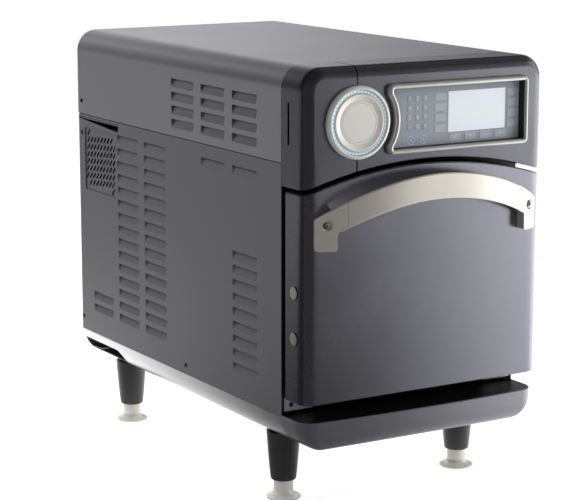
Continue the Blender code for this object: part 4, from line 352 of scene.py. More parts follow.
@dataclass(frozen=True)
class LitDisplay(Finish):
    """A back-lit liquid crystal panel behind a clear pane: a pale even field with a faint pixel grid."""

    pixel: float = 0.0015
    glow: float = 0.38
    pane: float = 0.6
    pane_roughness: float = 0.08

    def dress(self, tree: Tree, place: Socket) -> dict:
        """Draw faint rows and columns, coarser than real pixels so that they show at all."""
        parts = add_node(tree, "SeparateXYZ", {0: place}).outputs
        waves = []
        for axis in ("X", "Z"):
            inputs = {0: parts[axis], 1: math.tau / self.pixel}
            turns = add_node(tree, "Math", inputs, operation="MULTIPLY").outputs[0]
            waves.append(add_node(tree, "Math", {0: turns}, operation="SINE").outputs[0])
        grid = add_node(tree, "Math", {0: waves[0], 1: waves[1]}, operation="ADD").outputs[0]
        lines = add_node(tree, "MapRange", {"Value": grid, "From Min": -2.0, "From Max": 2.0}).outputs["Result"]
        clouds = self.drift(tree, place)
        colour = self.tones(tree, self.mean(tree, lines, clouds))
        return {"Base Color": colour, "Emission Color": colour, "Emission Strength": self.glow,
                "Roughness": self.gloss(tree, clouds), "Coat Weight": self.pane,
                "Coat Roughness": self.pane_roughness}


# Share of a rolled edge's depth at which the returns' darker coat, a painted shade of the sides that face away from
# the light, begins.
RETURN_SHADE_START = 0.44

# The badge's middle on the fascia, which its round finishes turn about.
BADGE_MIDDLE = (-0.1175, -0.345, 0.5625)

# Metallic charcoal polyester powder on the folded steel casing: fine peel, silky sheen.
CASING_COAT = PowderCoat("charcoal_powder_coat_lower", "#58585d", "#626267", 0.44)
# Painted light: the cover, whose top and shoulders catch the light from above, gets a lighter copy of the casing's
# coat, with more flake and less peel.
COVER_COAT_LIT = PowderCoat("charcoal_powder_coat_upper_lit", "#87878e", "#919198", 0.33, peel_depth=0.00003, flake=0.9)
# The same charcoal sprayed over moulded fronts: smoother, with more flake.
FRONT_COAT = PowderCoat("charcoal_sprayed_moulding", "#737379", "#7e7e84", 0.28, peel_size=0.0010,
                        peel_depth=0.00001, flake=0.92)
# Painted light: the door's pressed steel skin gets a lighter and flatter copy of it, for the brighter light on the
# door's face.
DOOR_COAT_LIT = replace(FRONT_COAT, name="charcoal_sprayed_steel", dark="#8b8b94", light="#9797a0", roughness=0.26,
                    flake=0.95)
# Painted shade: the returns of fascia and door, which face away from the light, get a darker copy of their coat.
FRONT_RETURN_SHADE = replace(FRONT_COAT, name="charcoal_sprayed_moulding_return_shade", dark="#525257", light="#5a5a5f")
DOOR_RETURN_SHADE = replace(DOOR_COAT_LIT, name="charcoal_sprayed_steel_return_shade", dark="#646469", light="#6d6d72")
# The tray's moulding takes the spray drier, with less flake on top.
TRAY_COAT = PowderCoat("charcoal_sprayed_tray", "#86868c", "#909096", 0.34, peel_size=0.0012,
                       peel_depth=0.00002, flake=0.75)
# Satin champagne nickel lacquer over die castings: warm grey that goes near white in the light.
HANDLE_NICKEL = BrushedMetal("champagne_nickel_satin", "#ebe5d8", "#f4efe5", 0.40, 0.05, metal=0.7)
BEZEL_NICKEL = BrushedMetal("champagne_nickel_cast", "#cfcec9", "#dad9d4", 0.34, 0.05, lay=Lay.NONE,
                            line_size=0.002, metal=0.70)
# The badge's disc is the same lacquered nickel, spun, so its shine fans out from the middle.
BADGE_NICKEL = SpunMetal("champagne_nickel_spun", "#ece8e0", "#f4f1eb", 0.40, 0.06, middle=BADGE_MIDDLE, metal=0.6)
# The badge's rim is the same nickel, polished one step further.
RIM_NICKEL = SpunMetal("nickel_spun_bright", "#eeece7", "#f6f4f1", 0.30, 0.05, middle=BADGE_MIDDLE, metal=0.5)
# Grained stainless sheet, 304: cool grey with lines along the fold.
BASE_STEEL = BrushedMetal("stainless_sheet_grained", "#cdcdce", "#dddddf", 0.30, 0.05, lay=Lay.ALONG_Y)
# Stainless strip of the hinge arms: duller, with lines that run up and down.
FRAME_STEEL = BrushedMetal("stainless_sheet_frame", "#9c9c9c", "#b4b4b4", 0.42, 0.06, lay=Lay.ALONG_Z)
# Painted shade: the casing's front frame, which only shows through the gaps round the door, is dressed black for the
# shade in those gaps; its stainless shows only in the sill plates.
FRAME_SHADE_BLACK = Moulded("front_frame_painted_shade_black", "#101011", "#171718", 0.45, 0.06, grain_size=0.0015)
# Bright rolled stainless of the sill.
SILL_STEEL = BrushedMetal("stainless_strip_rolled", "#b9b9ba", "#cdcdce", 0.40, 0.06, metal=0.6)
# Stainless of the chamber and the door's inside, greyed by heat.
CHAMBER_STEEL = BrushedMetal("stainless_sheet_chamber", "#a6a6a4", "#bcbcba", 0.34, 0.07)
# Turned stainless: bright, with the faint marks of the tool.
FOOT_STEEL = BrushedMetal("stainless_turned", "#dedad2", "#eae6de", 0.36, 0.06, lay=Lay.NONE, line_size=0.0012,
                          metal=0.30)
# Blackened steel screws: a dark glint with no lay.
SCREW_STEEL = BrushedMetal("steel_screw_blackened", "#303034", "#46464a", 0.38, 0.06, lay=Lay.NONE)
# Stainless screws and plugs: a small warm glint.
BRIGHT_SCREW = BrushedMetal("stainless_screw", "#a8a49a", "#c0bcb2", 0.32, 0.06, lay=Lay.NONE)
# Hot-dip galvanised sheet: broad zinc spangle.
ZINC = Spangled("galvanised_sheet", "#8e9294", "#a9adaf", 0.48, 0.10)
# Cast aluminium of the magnetron and the waveguide: fine sand grain.
CAST_ALUMINIUM = BrushedMetal("aluminium_cast", "#a8aaac", "#bcbec0", 0.5, 0.08, lay=Lay.NONE, line_size=0.0015)
# Glass-filled nylon of the legs: black with a low shine.
LEG_NYLON = Moulded("nylon_glass_filled_black", "#2c2b2d", "#363537", 0.32, 0.05)
# Moulded ABS: black with a broad soft shine.
BLACK_PLASTIC = Moulded("abs_black", "#141414", "#1c1c1d", 0.45, 0.08)
# Painted shade and reflection: the tray's top is dressed near black, for the shade under the door and the door's dark
# underside that it reflects.
LEDGE_SHADE_BLACK = Moulded("tray_top_painted_shade_black", "#0a0a0c", "#101013", 0.42, 0.05, grain_size=0.002)
# Printed polyester overlay of the keypad: a fine matt texture under the print.
KEYPAD_FILM = Moulded("polyester_overlay_grey", "#999ea8", "#a3a7b0", 0.42, 0.05)
# The overlay's keys are printed paler than its ground, and a little glossier.
KEY_FILM = Moulded("polyester_key_print_pale", "#acb0b9", "#b7bbc4", 0.38, 0.05)
# Screen-printed ink of the numbers, flat and nearly white.
KEY_PRINT = Moulded("screen_print_white", "#c9ccd1", "#d6d9dd", 0.5, 0.05)
# Screen-printed ink of the two round keys, flat and pale blue.
ROUND_KEY_PRINT = Moulded("screen_print_pale_blue", "#a8c6d6", "#bcd6e2", 0.5, 0.05)
# Extruded silicone of the door's seal.
SEAL_RUBBER = Moulded("silicone_grey", "#3a3a3c", "#454547", 0.6, 0.06)
# Ceramic fibre blanket round the chamber.
FIBRE = Moulded("ceramic_fibre_blanket", "#cfcac0", "#e2ddd2", 0.9, 0.04, grain_size=0.004, grain_depth=0.0006)
# Needled polyester felt and filter mat.
FELT = Moulded("polyester_felt_black", "#0b0b0c", "#131314", 0.9, 0.04, grain_size=0.002, grain_depth=0.0004)
# Stoving enamel on the motors: black with little flake and a dull peel.
MOTOR_PAINT = PowderCoat("motor_enamel_black", "#1e1f22", "#27282b", 0.5, flake=0.1)
# Solder mask on the circuit board: dark green and fairly glossy.
BOARD_RESIST = Moulded("circuit_board_solder_mask", "#12402a", "#1a5236", 0.35, 0.08, drift_size=0.01)
# Insulating lacquer over the transformer's winding: amber brown with a soft shine.
LACQUERED_COIL = Moulded("transformer_lacquer_amber", "#5a3a22", "#6c4a2c", 0.4, 0.08, drift_size=0.02)
# Milky acrylic of the badge's ring, lit cyan from behind.
RING_LIGHT = LightGuide("acrylic_light_ring_cyan", "#c6d3d6", "#a6ecf5", 0.35, 0.05, 0.03, middle=BADGE_MIDDLE)
# Liquid crystal panel behind a clear pane: pale grey, evenly lit.
DISPLAY = LitDisplay("lcd_backlit", "#c6cbd1", "#d2d6db", 0.2, 0.03, 0.06)


# Curves and grids


def arc(centre: Pair, radius: float, angles: Array) -> Array:
    """Points on a circle: centre + radius * (cos a, sin a), with the angles in degrees."""
    turns = np.radians(angles)
    return spread(centre[0] + radius * np.cos(turns), centre[1] + radius * np.sin(turns))


def line_set(*groups: Array | list[float]) -> Array:
    """All values of the groups in rising order, each once."""
    values = np.sort(np.concatenate([np.atleast_1d(np.asarray(g, float)) for g in groups]))
    return values[np.concatenate([[True], np.diff(values) > LINE_GAP])]


def within(values: Array, span: Pair) -> Array:
    """Whether each value lies inside a span."""
    return (values > span[0]) & (values < span[1])


def middles(values: Array) -> Array:
    """Halfway between each row of values and the next."""
    return (values[1:] + values[:-1]) / 2


def spread(*parts: Array | float) -> Array:
    """Points with these coordinates, each of them spread over the grid that they have in common."""
    return np.stack(np.broadcast_arrays(*parts), -1)


def upright(loop: Array, y: float) -> Array:
    """An outline of the front view, stood up at a depth."""
    return spread(loop[:, 0], y, loop[:, 1])


def mirrored(half: Array) -> Array:
    """The other half of a path that is alike on both sides, walked on from the first."""
    return half[::-1] * [-1, 1]


def mitres(points: Array, closed: bool = True) -> Array:
    """The sideways step, to the left of the path, that moves each corner by one unit from both its edges.

    With n1 and n2 the left normals of the two edges, the step is (n1 + n2) / (1 + n1 . n2).

    Args:
        points: The path, one row each.
        closed: Whether the last point joins the first.

    Returns:
        One step for each point.
    """
    ahead = np.roll(points, -1, 0) - points
    left = spread(-ahead[:, 1], ahead[:, 0])
    left /= np.linalg.norm(left, axis=1, keepdims=True)
    if not closed:
        left[-1] = left[-2]
    before = np.roll(left, 1, 0)
    if not closed:
        before[0] = left[0]
    return (left + before) / (1 + np.sum(left * before, 1, keepdims=True))


def inset_lines(path: Array, insets: Array) -> Array:
    """The path moved inwards by each inset: C(s) + m(s) * inset, with m the mitred step and one row for each s."""
    return path[:, None] + mitres(path, closed=False)[:, None] * insets[None, :, None]


def rounded_loop(corners: list[Triple], steps: int = 5) -> Array:
    """A closed outline with an arc at each corner.

    Each arc starts and ends r / tan(half the corner's angle) away from the corner, which makes it touch both sides.

    Args:
        corners: x, y and radius of each corner, anticlockwise.
        steps: Faces along each arc.

    Returns:
        The outline's points.
    """
    spots = np.array([c[:2] for c in corners])
    found = []
    for index, (_, _, radius) in enumerate(corners):
        here = spots[index]
        if radius <= 0:
            found.append(here[None])
            continue
        back = spots[index - 1] - here
        ahead = spots[(index + 1) % len(spots)] - here
        back /= np.linalg.norm(back)
        ahead /= np.linalg.norm(ahead)
        half = math.acos(float(np.clip(back @ ahead, -1, 1))) / 2
        middle = here + (back + ahead) / np.linalg.norm(back + ahead) * radius / math.sin(half)
        start = here + back * radius / math.tan(half) - middle
        end = here + ahead * radius / math.tan(half) - middle
        first, last = math.atan2(start[1], start[0]), math.atan2(end[1], end[0])
        sweep = (last - first + math.pi) % math.tau - math.pi
        found.append(arc(tuple(middle), radius, np.degrees(first + sweep * np.linspace(0, 1, steps + 1))))
    return np.concatenate(found)


def box_loop(middle: Pair, size: Pair, corner: float, steps: int = 3) -> Array:
    """A rectangle with rounded corners.

    Args:
        middle: Its middle.
        size: Its width and height.
        corner: Radius of its corners.
        steps: Faces along each arc.

    Returns:
        The outline's points, anticlockwise from the lower left.
    """
    signs = ((-1, -1), (1, -1), (1, 1), (-1, 1))
    corners = [(middle[0] + x * size[0] / 2, middle[1] + y * size[1] / 2, corner) for x, y in signs]
    return rounded_loop(corners, steps)


def quarter(steps: int) -> tuple[Array, Array]:
    """The two parts of an edge's rounding: 1 - cos a and 1 - sin a, for a from 0 to a right angle."""
    angles = np.linspace(0, math.pi / 2, steps + 1)
    return 1 - np.cos(angles), 1 - np.sin(angles)


def frame_along(axis: Triple) -> Array:
    """Three square directions, the last of them along the axis: each is the cross product of the other two.

    Args:
        axis: The axis, of any length.

    Returns:
        The directions, as rows of a right-handed turn.
    """
    along = np.array(axis, float)
    along /= np.linalg.norm(along)
    upwards = np.array([0.0, 0.0, 1.0]) if abs(along[2]) < 0.9 else np.array([0.0, 1.0, 0.0])
    across = np.cross(upwards, along)
    across /= np.linalg.norm(across)
    return np.stack([across, np.cross(along, across), along])


@dataclass
class Surface:
    """Grids and flat fills gathered into one mesh."""

    points: list[Array] = field(default_factory=list)
    faces: list[list[int]] = field(default_factory=list)
    finishes: list[int] = field(default_factory=list)
    count: int = 0

    def _take(self, points: Array) -> int:
        """Add points and return the number of the first."""
        start = self.count
        self.points.append(points.reshape(-1, 3))
        self.count += len(self.points[-1])
        return start

    def grid(
        self,
        points: Array,
        round_u: bool = False,
        round_v: bool = False,
        keep: Array | None = None,
        flip: bool = False,
        finish: int = 0,
    ) -> None:
        """Add a grid of four-sided faces.

        Args:
            points: Corners as an array of rows, columns and 3.
            round_u: Whether the last row joins the first.
            round_v: Whether the last column joins the first.
            keep: Which faces stay, if not all.
            flip: Whether the faces look the other way.
            finish: Number of the finish.
        """
        rows, columns = points.shape[:2]
        start = self._take(points)
        u = np.arange(rows if round_u else rows - 1)[:, None]
        v = np.arange(columns if round_v else columns - 1)[None]
        up, on = (u + 1) % rows, (v + 1) % columns
        corners = np.stack([u * columns + v, up * columns + v, up * columns + on, u * columns + on], 2) + start
        if keep is not None:
            corners = corners[keep]
        corners = corners.reshape(-1, 4)
        if flip:
            corners = corners[:, ::-1]
        self.faces += corners.tolist()
        self.finishes += [finish] * len(corners)

    def fill(self, loops: list[Array], facing: Triple, finish: int = 0) -> None:
        """Fill a flat outline and leave its holes open.

        Args:
            loops: The outline and its holes, each an array of 3-D points.
            facing: The direction that the fill looks in.
            finish: Number of the finish.
        """
        every = np.concatenate(loops)
        start = self._take(every)
        found = np.array(tessellate_polygon([[Vector(p) for p in loop] for loop in loops]))
        first, second, third = (every[found[:, i]] for i in range(3))
        normals = np.cross(second - first, third - first)
        big = np.linalg.norm(normals, axis=1) > 1e-14
        away = normals @ np.array(facing) < 0
        found[away] = found[away][:, ::-1]
        self.faces += (found[big] + start).tolist()
        self.finishes += [finish] * int(big.sum())

    def slab(self, middle: Triple, half: Triple) -> None:
        """Add a plain box: P = middle + (sx, sy, sz) * half, with each s at -1 or 1.

        Args:
            middle: Its middle.
            half: Half its width, depth and height.
        """
        ring = np.array([[-1, -1], [1, -1], [1, 1], [-1, 1]])
        signs = np.stack([np.column_stack([ring, np.full(4, s)]) for s in (-1, 1)])
        points = np.array(middle) + signs * np.array(half)
        self.grid(points, round_v=True)
        self.fill([points[0]], DOWN)
        self.fill([points[1]], UP)

    def turn(self, profile: list[Pair], origin: Triple, axis: Triple, steps: int) -> "Surface":
        """Add a profile turned about an axis: (r, h) goes to origin + r cos a * e1 + r sin a * e2 + h * axis.

        Args:
            profile: Radius and height of each point, from the bottom over the outside to the top.
            origin: Where height 0 lies on the axis.
            axis: The axis's direction.
            steps: Points round the turn.

        Returns:
            The surface itself.
        """
        radius, height = np.array(profile).T
        angles = (np.arange(steps) * math.tau / steps)[:, None]
        local = spread(np.cos(angles) * radius, np.sin(angles) * radius, height)
        self.grid(local @ frame_along(axis) + np.array(origin), round_u=True)
        return self

    def mesh(self, name: str, closed: bool = True) -> Mesh:
        """Build the welded mesh.

        Args:
            name: The mesh's name.
            closed: Whether it encloses a solid, whose faces are then turned outwards together.

        Returns:
            The mesh.
        """
        mesh = bpy.data.meshes.new(name)
        mesh.from_pydata(np.concatenate(self.points).tolist(), [], self.faces)
        mesh.polygons.foreach_set("material_index", np.array(self.finishes, np.int32))
        work = bmesh.new()
        work.from_mesh(mesh)
        bmesh.ops.remove_doubles(work, verts=work.verts, dist=WELD)
        bmesh.ops.dissolve_degenerate(work, edges=work.edges, dist=WELD / 4)
        if closed:
            bmesh.ops.recalc_face_normals(work, faces=work.faces)
        work.to_mesh(mesh)
        work.free()
        return mesh


def shade_returns(mesh: Mesh, depth: float) -> Mesh:
    """Give finish 1, the darker coat that paints the shade of the returns, to every face behind a depth.

    Args:
        mesh: The mesh.
        depth: The y value where the returns begin.

    Returns:
        The mesh.
    """
    places = np.empty(3 * len(mesh.polygons), np.float32)
    mesh.polygons.foreach_get("center", places)
    mesh.polygons.foreach_set("material_index", (places[1::3] > depth).astype(np.int32))
    return mesh


def mesh_from(work: bmesh.types.BMesh, name: str) -> Mesh:
    """Turn a working mesh into a mesh, and free it.

    Args:
        work: The working mesh.
        name: The new mesh's name.

    Returns:
        The new mesh.
    """
    mesh = bpy.data.meshes.new(name)
    work.to_mesh(mesh)
    work.free()
    return mesh


def show(piece: Piece) -> Piece:
    """Link an object into the scene, and return it."""
    bpy.context.scene.collection.objects.link(piece)
    return piece


# Making and placing a piece


@dataclass
class Workshop:
    """Knows which body each CAD node rides on, and hands over finished pieces."""

    bodies: dict[str, str]
    nodes: dict[str, Piece]

    def object_of(self, mesh: Mesh, *finishes: Finish) -> Piece:
        """Put a mesh into the scene with its finishes."""
        for finish in finishes:
            mesh.materials.append(finish.material())
        return show(bpy.data.objects.new(mesh.name, mesh))

    def worked(
        self,
        piece: Piece,
        wall: float = 0.0,
        edge: float = 0.0,
        edge_steps: int = 2,
        crease: float = 32.0,
        cutters: tuple[Piece, ...] = (),
    ) -> Piece:
        """Give a piece its wall, cuts and edges, and make them part of its mesh.

        Args:
            piece: The piece, whose skin is its outside.
            wall: Thickness that grows inwards, or 0 for none.
            edge: Width of the rounding along sharp edges, or 0 for none.
            edge_steps: Faces across that rounding.
            crease: Angle in degrees past which an edge stays crisp.
            cutters: Solids that are cut away, and then removed.

        Returns:
            The same piece.
        """
        if wall:
            solid = piece.modifiers.new("wall", "SOLIDIFY")
            solid.thickness = wall
            solid.offset = -1
        for cutter in cutters:
            hole = piece.modifiers.new("hole", "BOOLEAN")
            hole.object = cutter
            hole.solver = "EXACT"
        if edge:
            bevel = piece.modifiers.new("edge", "BEVEL")
            bevel.width = edge
            bevel.segments = edge_steps
            bevel.limit_method = "ANGLE"
            bevel.angle_limit = math.radians(crease)
            bevel.use_clamp_overlap = True
        self.bake(piece)
        for cutter in cutters:
            bpy.data.objects.remove(cutter)
        piece.data.shade_smooth()
        piece.data.set_sharp_from_angle(angle=math.radians(crease))
        even = piece.modifiers.new("even", "WEIGHTED_NORMAL")
        even.keep_sharp = True
        self.bake(piece)
        return piece

    def bake(self, piece: Piece) -> None:
        """Make a piece's modifiers part of its mesh."""
        if piece.modifiers:
            shape = piece.evaluated_get(bpy.context.evaluated_depsgraph_get())
            mesh = bpy.data.meshes.new_from_object(shape)
            piece.modifiers.clear()
            piece.data = mesh

    def settle(self, piece: Piece, node: str, replaces: bool = True) -> Piece:
        """Let a piece ride with a CAD node's body and, if asked, stand for it.

        Args:
            piece: The finished piece.
            node: The CAD node.
            replaces: Whether the piece is shown instead of the node.

        Returns:
            The same piece.
        """
        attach(piece, self.bodies[node])
        if replaces:
            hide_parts(node)
        LOG.info("%s: %d faces, with %s", piece.name, len(piece.data.polygons), node)
        return piece

    def put(self, mesh: Mesh, node: str, *finishes: Finish, replaces: bool = True, **work: object) -> Piece:
        """Work a mesh into a finished piece and settle it with a CAD node.

        Args:
            mesh: The piece's skin.
            node: The CAD node.
            finishes: Its finishes, in the order of their numbers.
            replaces: Whether the piece is shown instead of the node.
            work: Its wall, edges and cuts, as worked takes them.

        Returns:
            The piece.
        """
        return self.settle(self.worked(self.object_of(mesh, *finishes), **work), node, replaces)

    def dress(self, finish: Finish, *names: str) -> None:
        """Give CAD nodes a finish, and leave their meshes alone.

        Args:
            finish: The finish.
            names: The CAD nodes.
        """
        for name in names:
            node = self.nodes[name]
            node.data.materials.clear()
            node.data.materials.append(finish.material())
            LOG.info("%s: dressed in %s", name, finish.name)

    def softened(self, node: str, finish: Finish, edge: float) -> None:
        """Stand a merged copy of a CAD node, with rounded edges, in the node's place.

        Args:
            node: The CAD node.
            finish: Its finish.
            edge: Width of the rounding.
        """
        work = bmesh.new()
        work.from_mesh(self.nodes[node].data)
        bmesh.ops.remove_doubles(work, verts=work.verts, dist=WELD)
        bmesh.ops.dissolve_limit(
            work, angle_limit=math.radians(1), verts=work.verts, edges=work.edges, use_dissolve_boundaries=False
        )
        self.put(mesh_from(work, "soft_" + node), node, finish, edge=edge)


# The casing


@dataclass(frozen=True)
class LouvrePress:
    """One louvre: a lip pressed in to its full depth under a slit, and flush again at its foot."""

    width: float = 0.0710
    height: float = 0.0130
    depth: float = 0.0040
    slit: float = 0.0009
    end: float = 0.0022

    def lines_along(self, fronts: tuple[float, ...]) -> Array:
        """Grid lines across each column: close together at its two ends."""
        near = np.array([-0.0006, 0.0, 0.3, 0.6, 1.0, 1.8]) * np.array([1, 1] + [self.end] * 4)
        inner = np.linspace(0.009, self.width - 0.009, 6)
        return line_set(*[f + g for f in fronts for g in (near, inner, self.width - near)])

    def lines_up(self, tops: tuple[float, ...]) -> Array:
        """Grid lines across each row: foot, slope, lip and slit."""
        steps = np.array([-0.0004, 0, 0.0008, 0.0022, 0.0045, 0.007, 0.0095, self.height - self.slit])
        return line_set(*[t - self.height + steps for t in tops], *[[t, t + 0.0004] for t in tops])

    def field(self, along: Array, up: Array, places: Array) -> Array:
        """Depth of the press at each point, in metres.

        The slope is depth * s ** 1.2, with s rising from 0 at the foot to 1 at the lip, and each end falls off as
        e * e * (3 - 2 e), with e the distance from that end over its length.

        Args:
            along: Distance along the sheet, as an array that broadcasts with up.
            up: Height on the sheet.
            places: Front edge and top of each louvre.

        Returns:
            The depth, broadcast over both.
        """
        found = np.zeros(np.broadcast(along, up).shape)
        for front, top in places:
            rise = np.clip((up - top + self.height) / (self.height - self.slit), 0, 1) ** 1.2
            rise = np.where(up >= top - NEAR, 0, rise)
            reach = np.clip(np.minimum(along - front, front + self.width - along) / self.end, 0, 1)
            found = np.maximum(found, self.depth * rise * reach * reach * (3 - 2 * reach))
        return found

    def open_cells(self, along: Array, up: Array, places: Array) -> Array:
        """Which faces lie in a slit.

        Args:
            along: Distance along the sheet of each face's middle.
            up: Height of each face's middle.
            places: Front edge and top of each louvre.

        Returns:
            True for each face that is left out.
        """
        found = np.zeros(np.broadcast(along, up).shape, bool)
        for front, top in places:
            beside = within(along, (front + self.end * 0.3, front + self.width - self.end * 0.3))
            found |= beside & within(up, (top - self.slit, top))
        return found


@dataclass
class Casing:
    """The folded steel casing: wrap-round cover, two side panels, base, grille and back."""

    shop: Workshop
    half_width: float = HALF_WIDTH
    front: float = -0.279
    rear: float = 0.369
    top: float = TOP
    cover_foot: float = 0.5055
    cover_plain: float = 0.07
    shoulder: float = SHOULDER
    panel_foot: float = 0.1443
    panel_top: float = 0.5043
    base_foot: float = 0.1016
    base_edge: float = 0.042
    base_top: float = 0.1440
    sheet: float = 0.0015
    fold: float = 0.012
    bend: float = 0.0020
    column_fronts: tuple[float, ...] = (-0.2135, -0.1210, -0.0285, 0.0640, 0.1565, 0.2490)
    cover_tops: tuple[float, ...] = (0.5923, 0.5720, 0.5517, 0.5314)
    panel_top_row: float = 0.4847
    panel_pitch: float = 0.0207
    front_plane: float = -0.27915
    back_plane: float = 0.3672
    press: LouvrePress = LouvrePress()

    def make(self) -> None:
        """Build every piece of the casing."""
        self.make_cover()
        for side, hand in SIDES:
            self.make_panel(side, "side_panel_" + hand)
        self.make_base()
        self.make_screws()
        self.make_small_parts()
        self.shop.dress(CASING_COAT, "fan_grille")
        self.shop.dress(ZINC, "back_panel")
        # The front frame is dressed black as painted shade in the gaps round the door.
        self.shop.dress(FRAME_SHADE_BLACK, "front_frame")

    def make_cover(self) -> None:
        """Press the cover: its section C(s) runs from foot to foot, and P = C(s) - n(s) * depth(s, y)."""
        inner, level = self.half_width - self.shoulder, self.top - self.shoulder
        wall = line_set([self.cover_foot, level], self.press.lines_up(self.cover_tops))
        rise = wall[(wall >= self.cover_foot) & (wall <= level)]
        turn = np.radians(np.linspace(0, 90, 15)[1:])
        bend = spread(-inner - self.shoulder * np.cos(turn), level + self.shoulder * np.sin(turn))
        half = np.concatenate([spread(-self.half_width, rise), bend])
        section = np.concatenate([half, spread(np.linspace(-inner, inner, 25)[1:], self.top), mirrored(half)[1:]])
        outward = mitres(section, closed=False)
        fronts = self.column_fronts[:3]
        places = np.array([(front, top) for front in fronts for top in self.cover_tops])
        along = line_set([self.front, self.rear], np.linspace(self.cover_plain, self.rear, 12),
                         self.press.lines_along(fronts))
        x, z, cells = section[:, :1], section[:, 1:], middles(section)
        on_wall, cell_on_wall = (np.abs(np.abs(c) - self.half_width) < NEAR for c in (x, cells[:, :1]))
        depth = np.where(on_wall, self.press.field(along[None], z, places), 0)
        slits = cell_on_wall & self.press.open_cells(middles(along)[None], cells[:, 1:], places)
        points = spread(x - outward[:, :1] * depth, along, z - outward[:, 1:] * depth)
        # The cover takes the lighter copy of the casing's coat, a painted light from above.
        self.put_sheet("cover_skin", "top_cover", COVER_COAT_LIT, points, slits)

    def put_sheet(self, name: str, node: str, finish: Finish, points: Array, gone: Array, flip: bool = False) -> None:
        """Make a pressed sheet, which is open at its edges, from a grid of its outer skin.

        Args:
            name: The piece's name.
            node: The CAD node that it stands for.
            finish: Its finish.
            points: The grid.
            gone: The faces that are cut away.
            flip: Whether the grid's faces look the other way.
        """
        skin = Surface()
        skin.grid(points, keep=~gone, flip=flip)
        self.shop.put(skin.mesh(name, closed=False), node, finish, wall=self.sheet)

    def panel_places(self) -> Array:
        """Front edge and top of each louvre in a side panel."""
        rows = {0: [0] + list(range(6, 15)), 1: [0], 3: list(range(15)), 4: list(range(15)), 5: [13, 14]}
        return np.array([(self.column_fronts[column], self.panel_top_row - row * self.panel_pitch)
                         for column, found in rows.items() for row in found])

    def make_panel(self, side: int, name: str) -> None:
        """Press a side panel and fold its rear edge: past the bend the sheet runs inwards along X.

        The left one has the fan's window, and a wedge of an intake whose lower edge rises to the rear.

        Args:
            side: -1 for left and 1 for right.
            name: The CAD node.
        """
        places = self.panel_places()
        window_y, window_z = (0.235, 0.346), (0.3824, 0.4840)
        wedge_y, wedge_z, wedge_top = (0.224, 0.366), (0.4883, 0.4973), 0.5008
        up = line_set(self.press.lines_up(sorted(set(places[:, 1]))), window_z,
                      [self.panel_foot, wedge_z[0], wedge_top, self.panel_top])
        inset, step = quarter(3)
        bend_start = self.rear - self.bend
        flat = line_set([self.front, bend_start], window_y, [wedge_y[0]], self.press.lines_along(self.column_fronts))
        flat = flat[flat <= bend_start + NEAR]
        along = np.concatenate([flat, self.rear - self.bend * step[1:], [self.rear] * 2])
        turn_in = np.concatenate([np.zeros(len(flat)), self.bend * inset[1:], [self.fold / 2, self.fold]])
        heights = np.broadcast_to(up[:, None], (len(up), len(along))).copy()
        share = np.clip((along - wedge_y[0]) / (wedge_y[1] - wedge_y[0]), 0, 1)
        heights[np.argmin(np.abs(up - wedge_z[0]))] = wedge_z[0] + (wedge_z[1] - wedge_z[0]) * share
        depth = self.press.field(along[None], up[:, None], places) + turn_in[None]
        mid_y, mid_z = middles(along)[None], middles(up)[:, None]
        gone = self.press.open_cells(mid_y, mid_z, places)
        if side < 0:
            gone |= within(mid_y, window_y) & within(mid_z, window_z)
            gone |= within(mid_y, wedge_y) & within(mid_z, (wedge_z[0], wedge_top))
        points = spread(side * (self.half_width - depth), along, heights)
        self.put_sheet(name + "_skin", name, CASING_COAT, points, gone, flip=side > 0)

    def make_base(self) -> None:
        """Fold the base pan round its lower edges and leave out the two hand-holds.

        A hand-hold's front edge leans back to its top in an arc: y = hold_y + r - sqrt(r ** 2 - lift ** 2).
        """
        hold_y, hold_z, hold_x, corner = (0.2260, 0.3590), 0.1310, 0.1755, 0.020
        inner, level = self.half_width - self.base_edge, self.base_foot + self.base_edge
        marks = [math.degrees(math.asin((level - hold_z) / self.base_edge)),
                 math.degrees(math.acos((hold_x - inner) / self.base_edge))]
        turn = np.radians(line_set(np.linspace(0, 90, 19), marks))
        bend = spread(-inner - self.base_edge * np.cos(turn), level - self.base_edge * np.sin(turn))
        half = np.concatenate([[[-self.half_width, self.base_top]], bend])
        flat = spread(np.linspace(-inner, inner, 9)[1:-1], self.base_foot)
        section = np.concatenate([half, flat, mirrored(half)])
        along = line_set(np.linspace(self.front, hold_y[0], 12), hold_y, [hold_y[0] + corner, self.rear])
        x, z, cells = section[:, :1], section[:, 1:], middles(section)
        y = np.broadcast_to(along[None], (len(section), len(along))).copy()
        lift = np.clip(z[:, 0] - (hold_z - corner), 0, corner)
        lean = corner - np.sqrt(corner**2 - np.minimum(lift, corner * 0.999) ** 2)
        held = np.abs(x[:, 0]) >= hold_x - NEAR
        y[held, np.argmin(np.abs(along - hold_y[0]))] += lean[held]
        gone = (np.abs(cells[:, :1]) > hold_x) & (cells[:, 1:] < hold_z) & within(middles(along)[None], hold_y)
        self.put_sheet("base_skin", "base_pan", BASE_STEEL, spread(x, y, z), gone, flip=True)

    def make_screws(self) -> None:
        """Small blackened socket screws along the seams, as the real panels are held."""
        profile = [(0, 0), (0.0034, 0), (0.0034, 0.0004), (0.0029, 0.0010), (0.0020, 0.0013), (0.0014, 0.0013),
                   (0.0012, 0.0003), (0, 0.0003)]
        places = [((side * self.half_width, y, z), (side, 0, 0)) for side, _ in SIDES
                  for y, z in ((0.3566, 0.5265), (0.3563, 0.4744), (0.3620, 0.1655), (0.0038, 0.1581))]
        places += [((x, self.front_plane, 0.1605), AHEAD) for x in (-0.185, 0.185)]
        places += [((x, self.back_plane, z), BACK) for x in (-0.17, -0.06, 0.06, 0.17) for z in (0.165, 0.615)]
        screws = Surface()
        for place, axis in places:
            screws.turn(profile, place, axis, 14)
        self.shop.put(screws.mesh("casing_screws"), "top_cover", SCREW_STEEL, replaces=False)

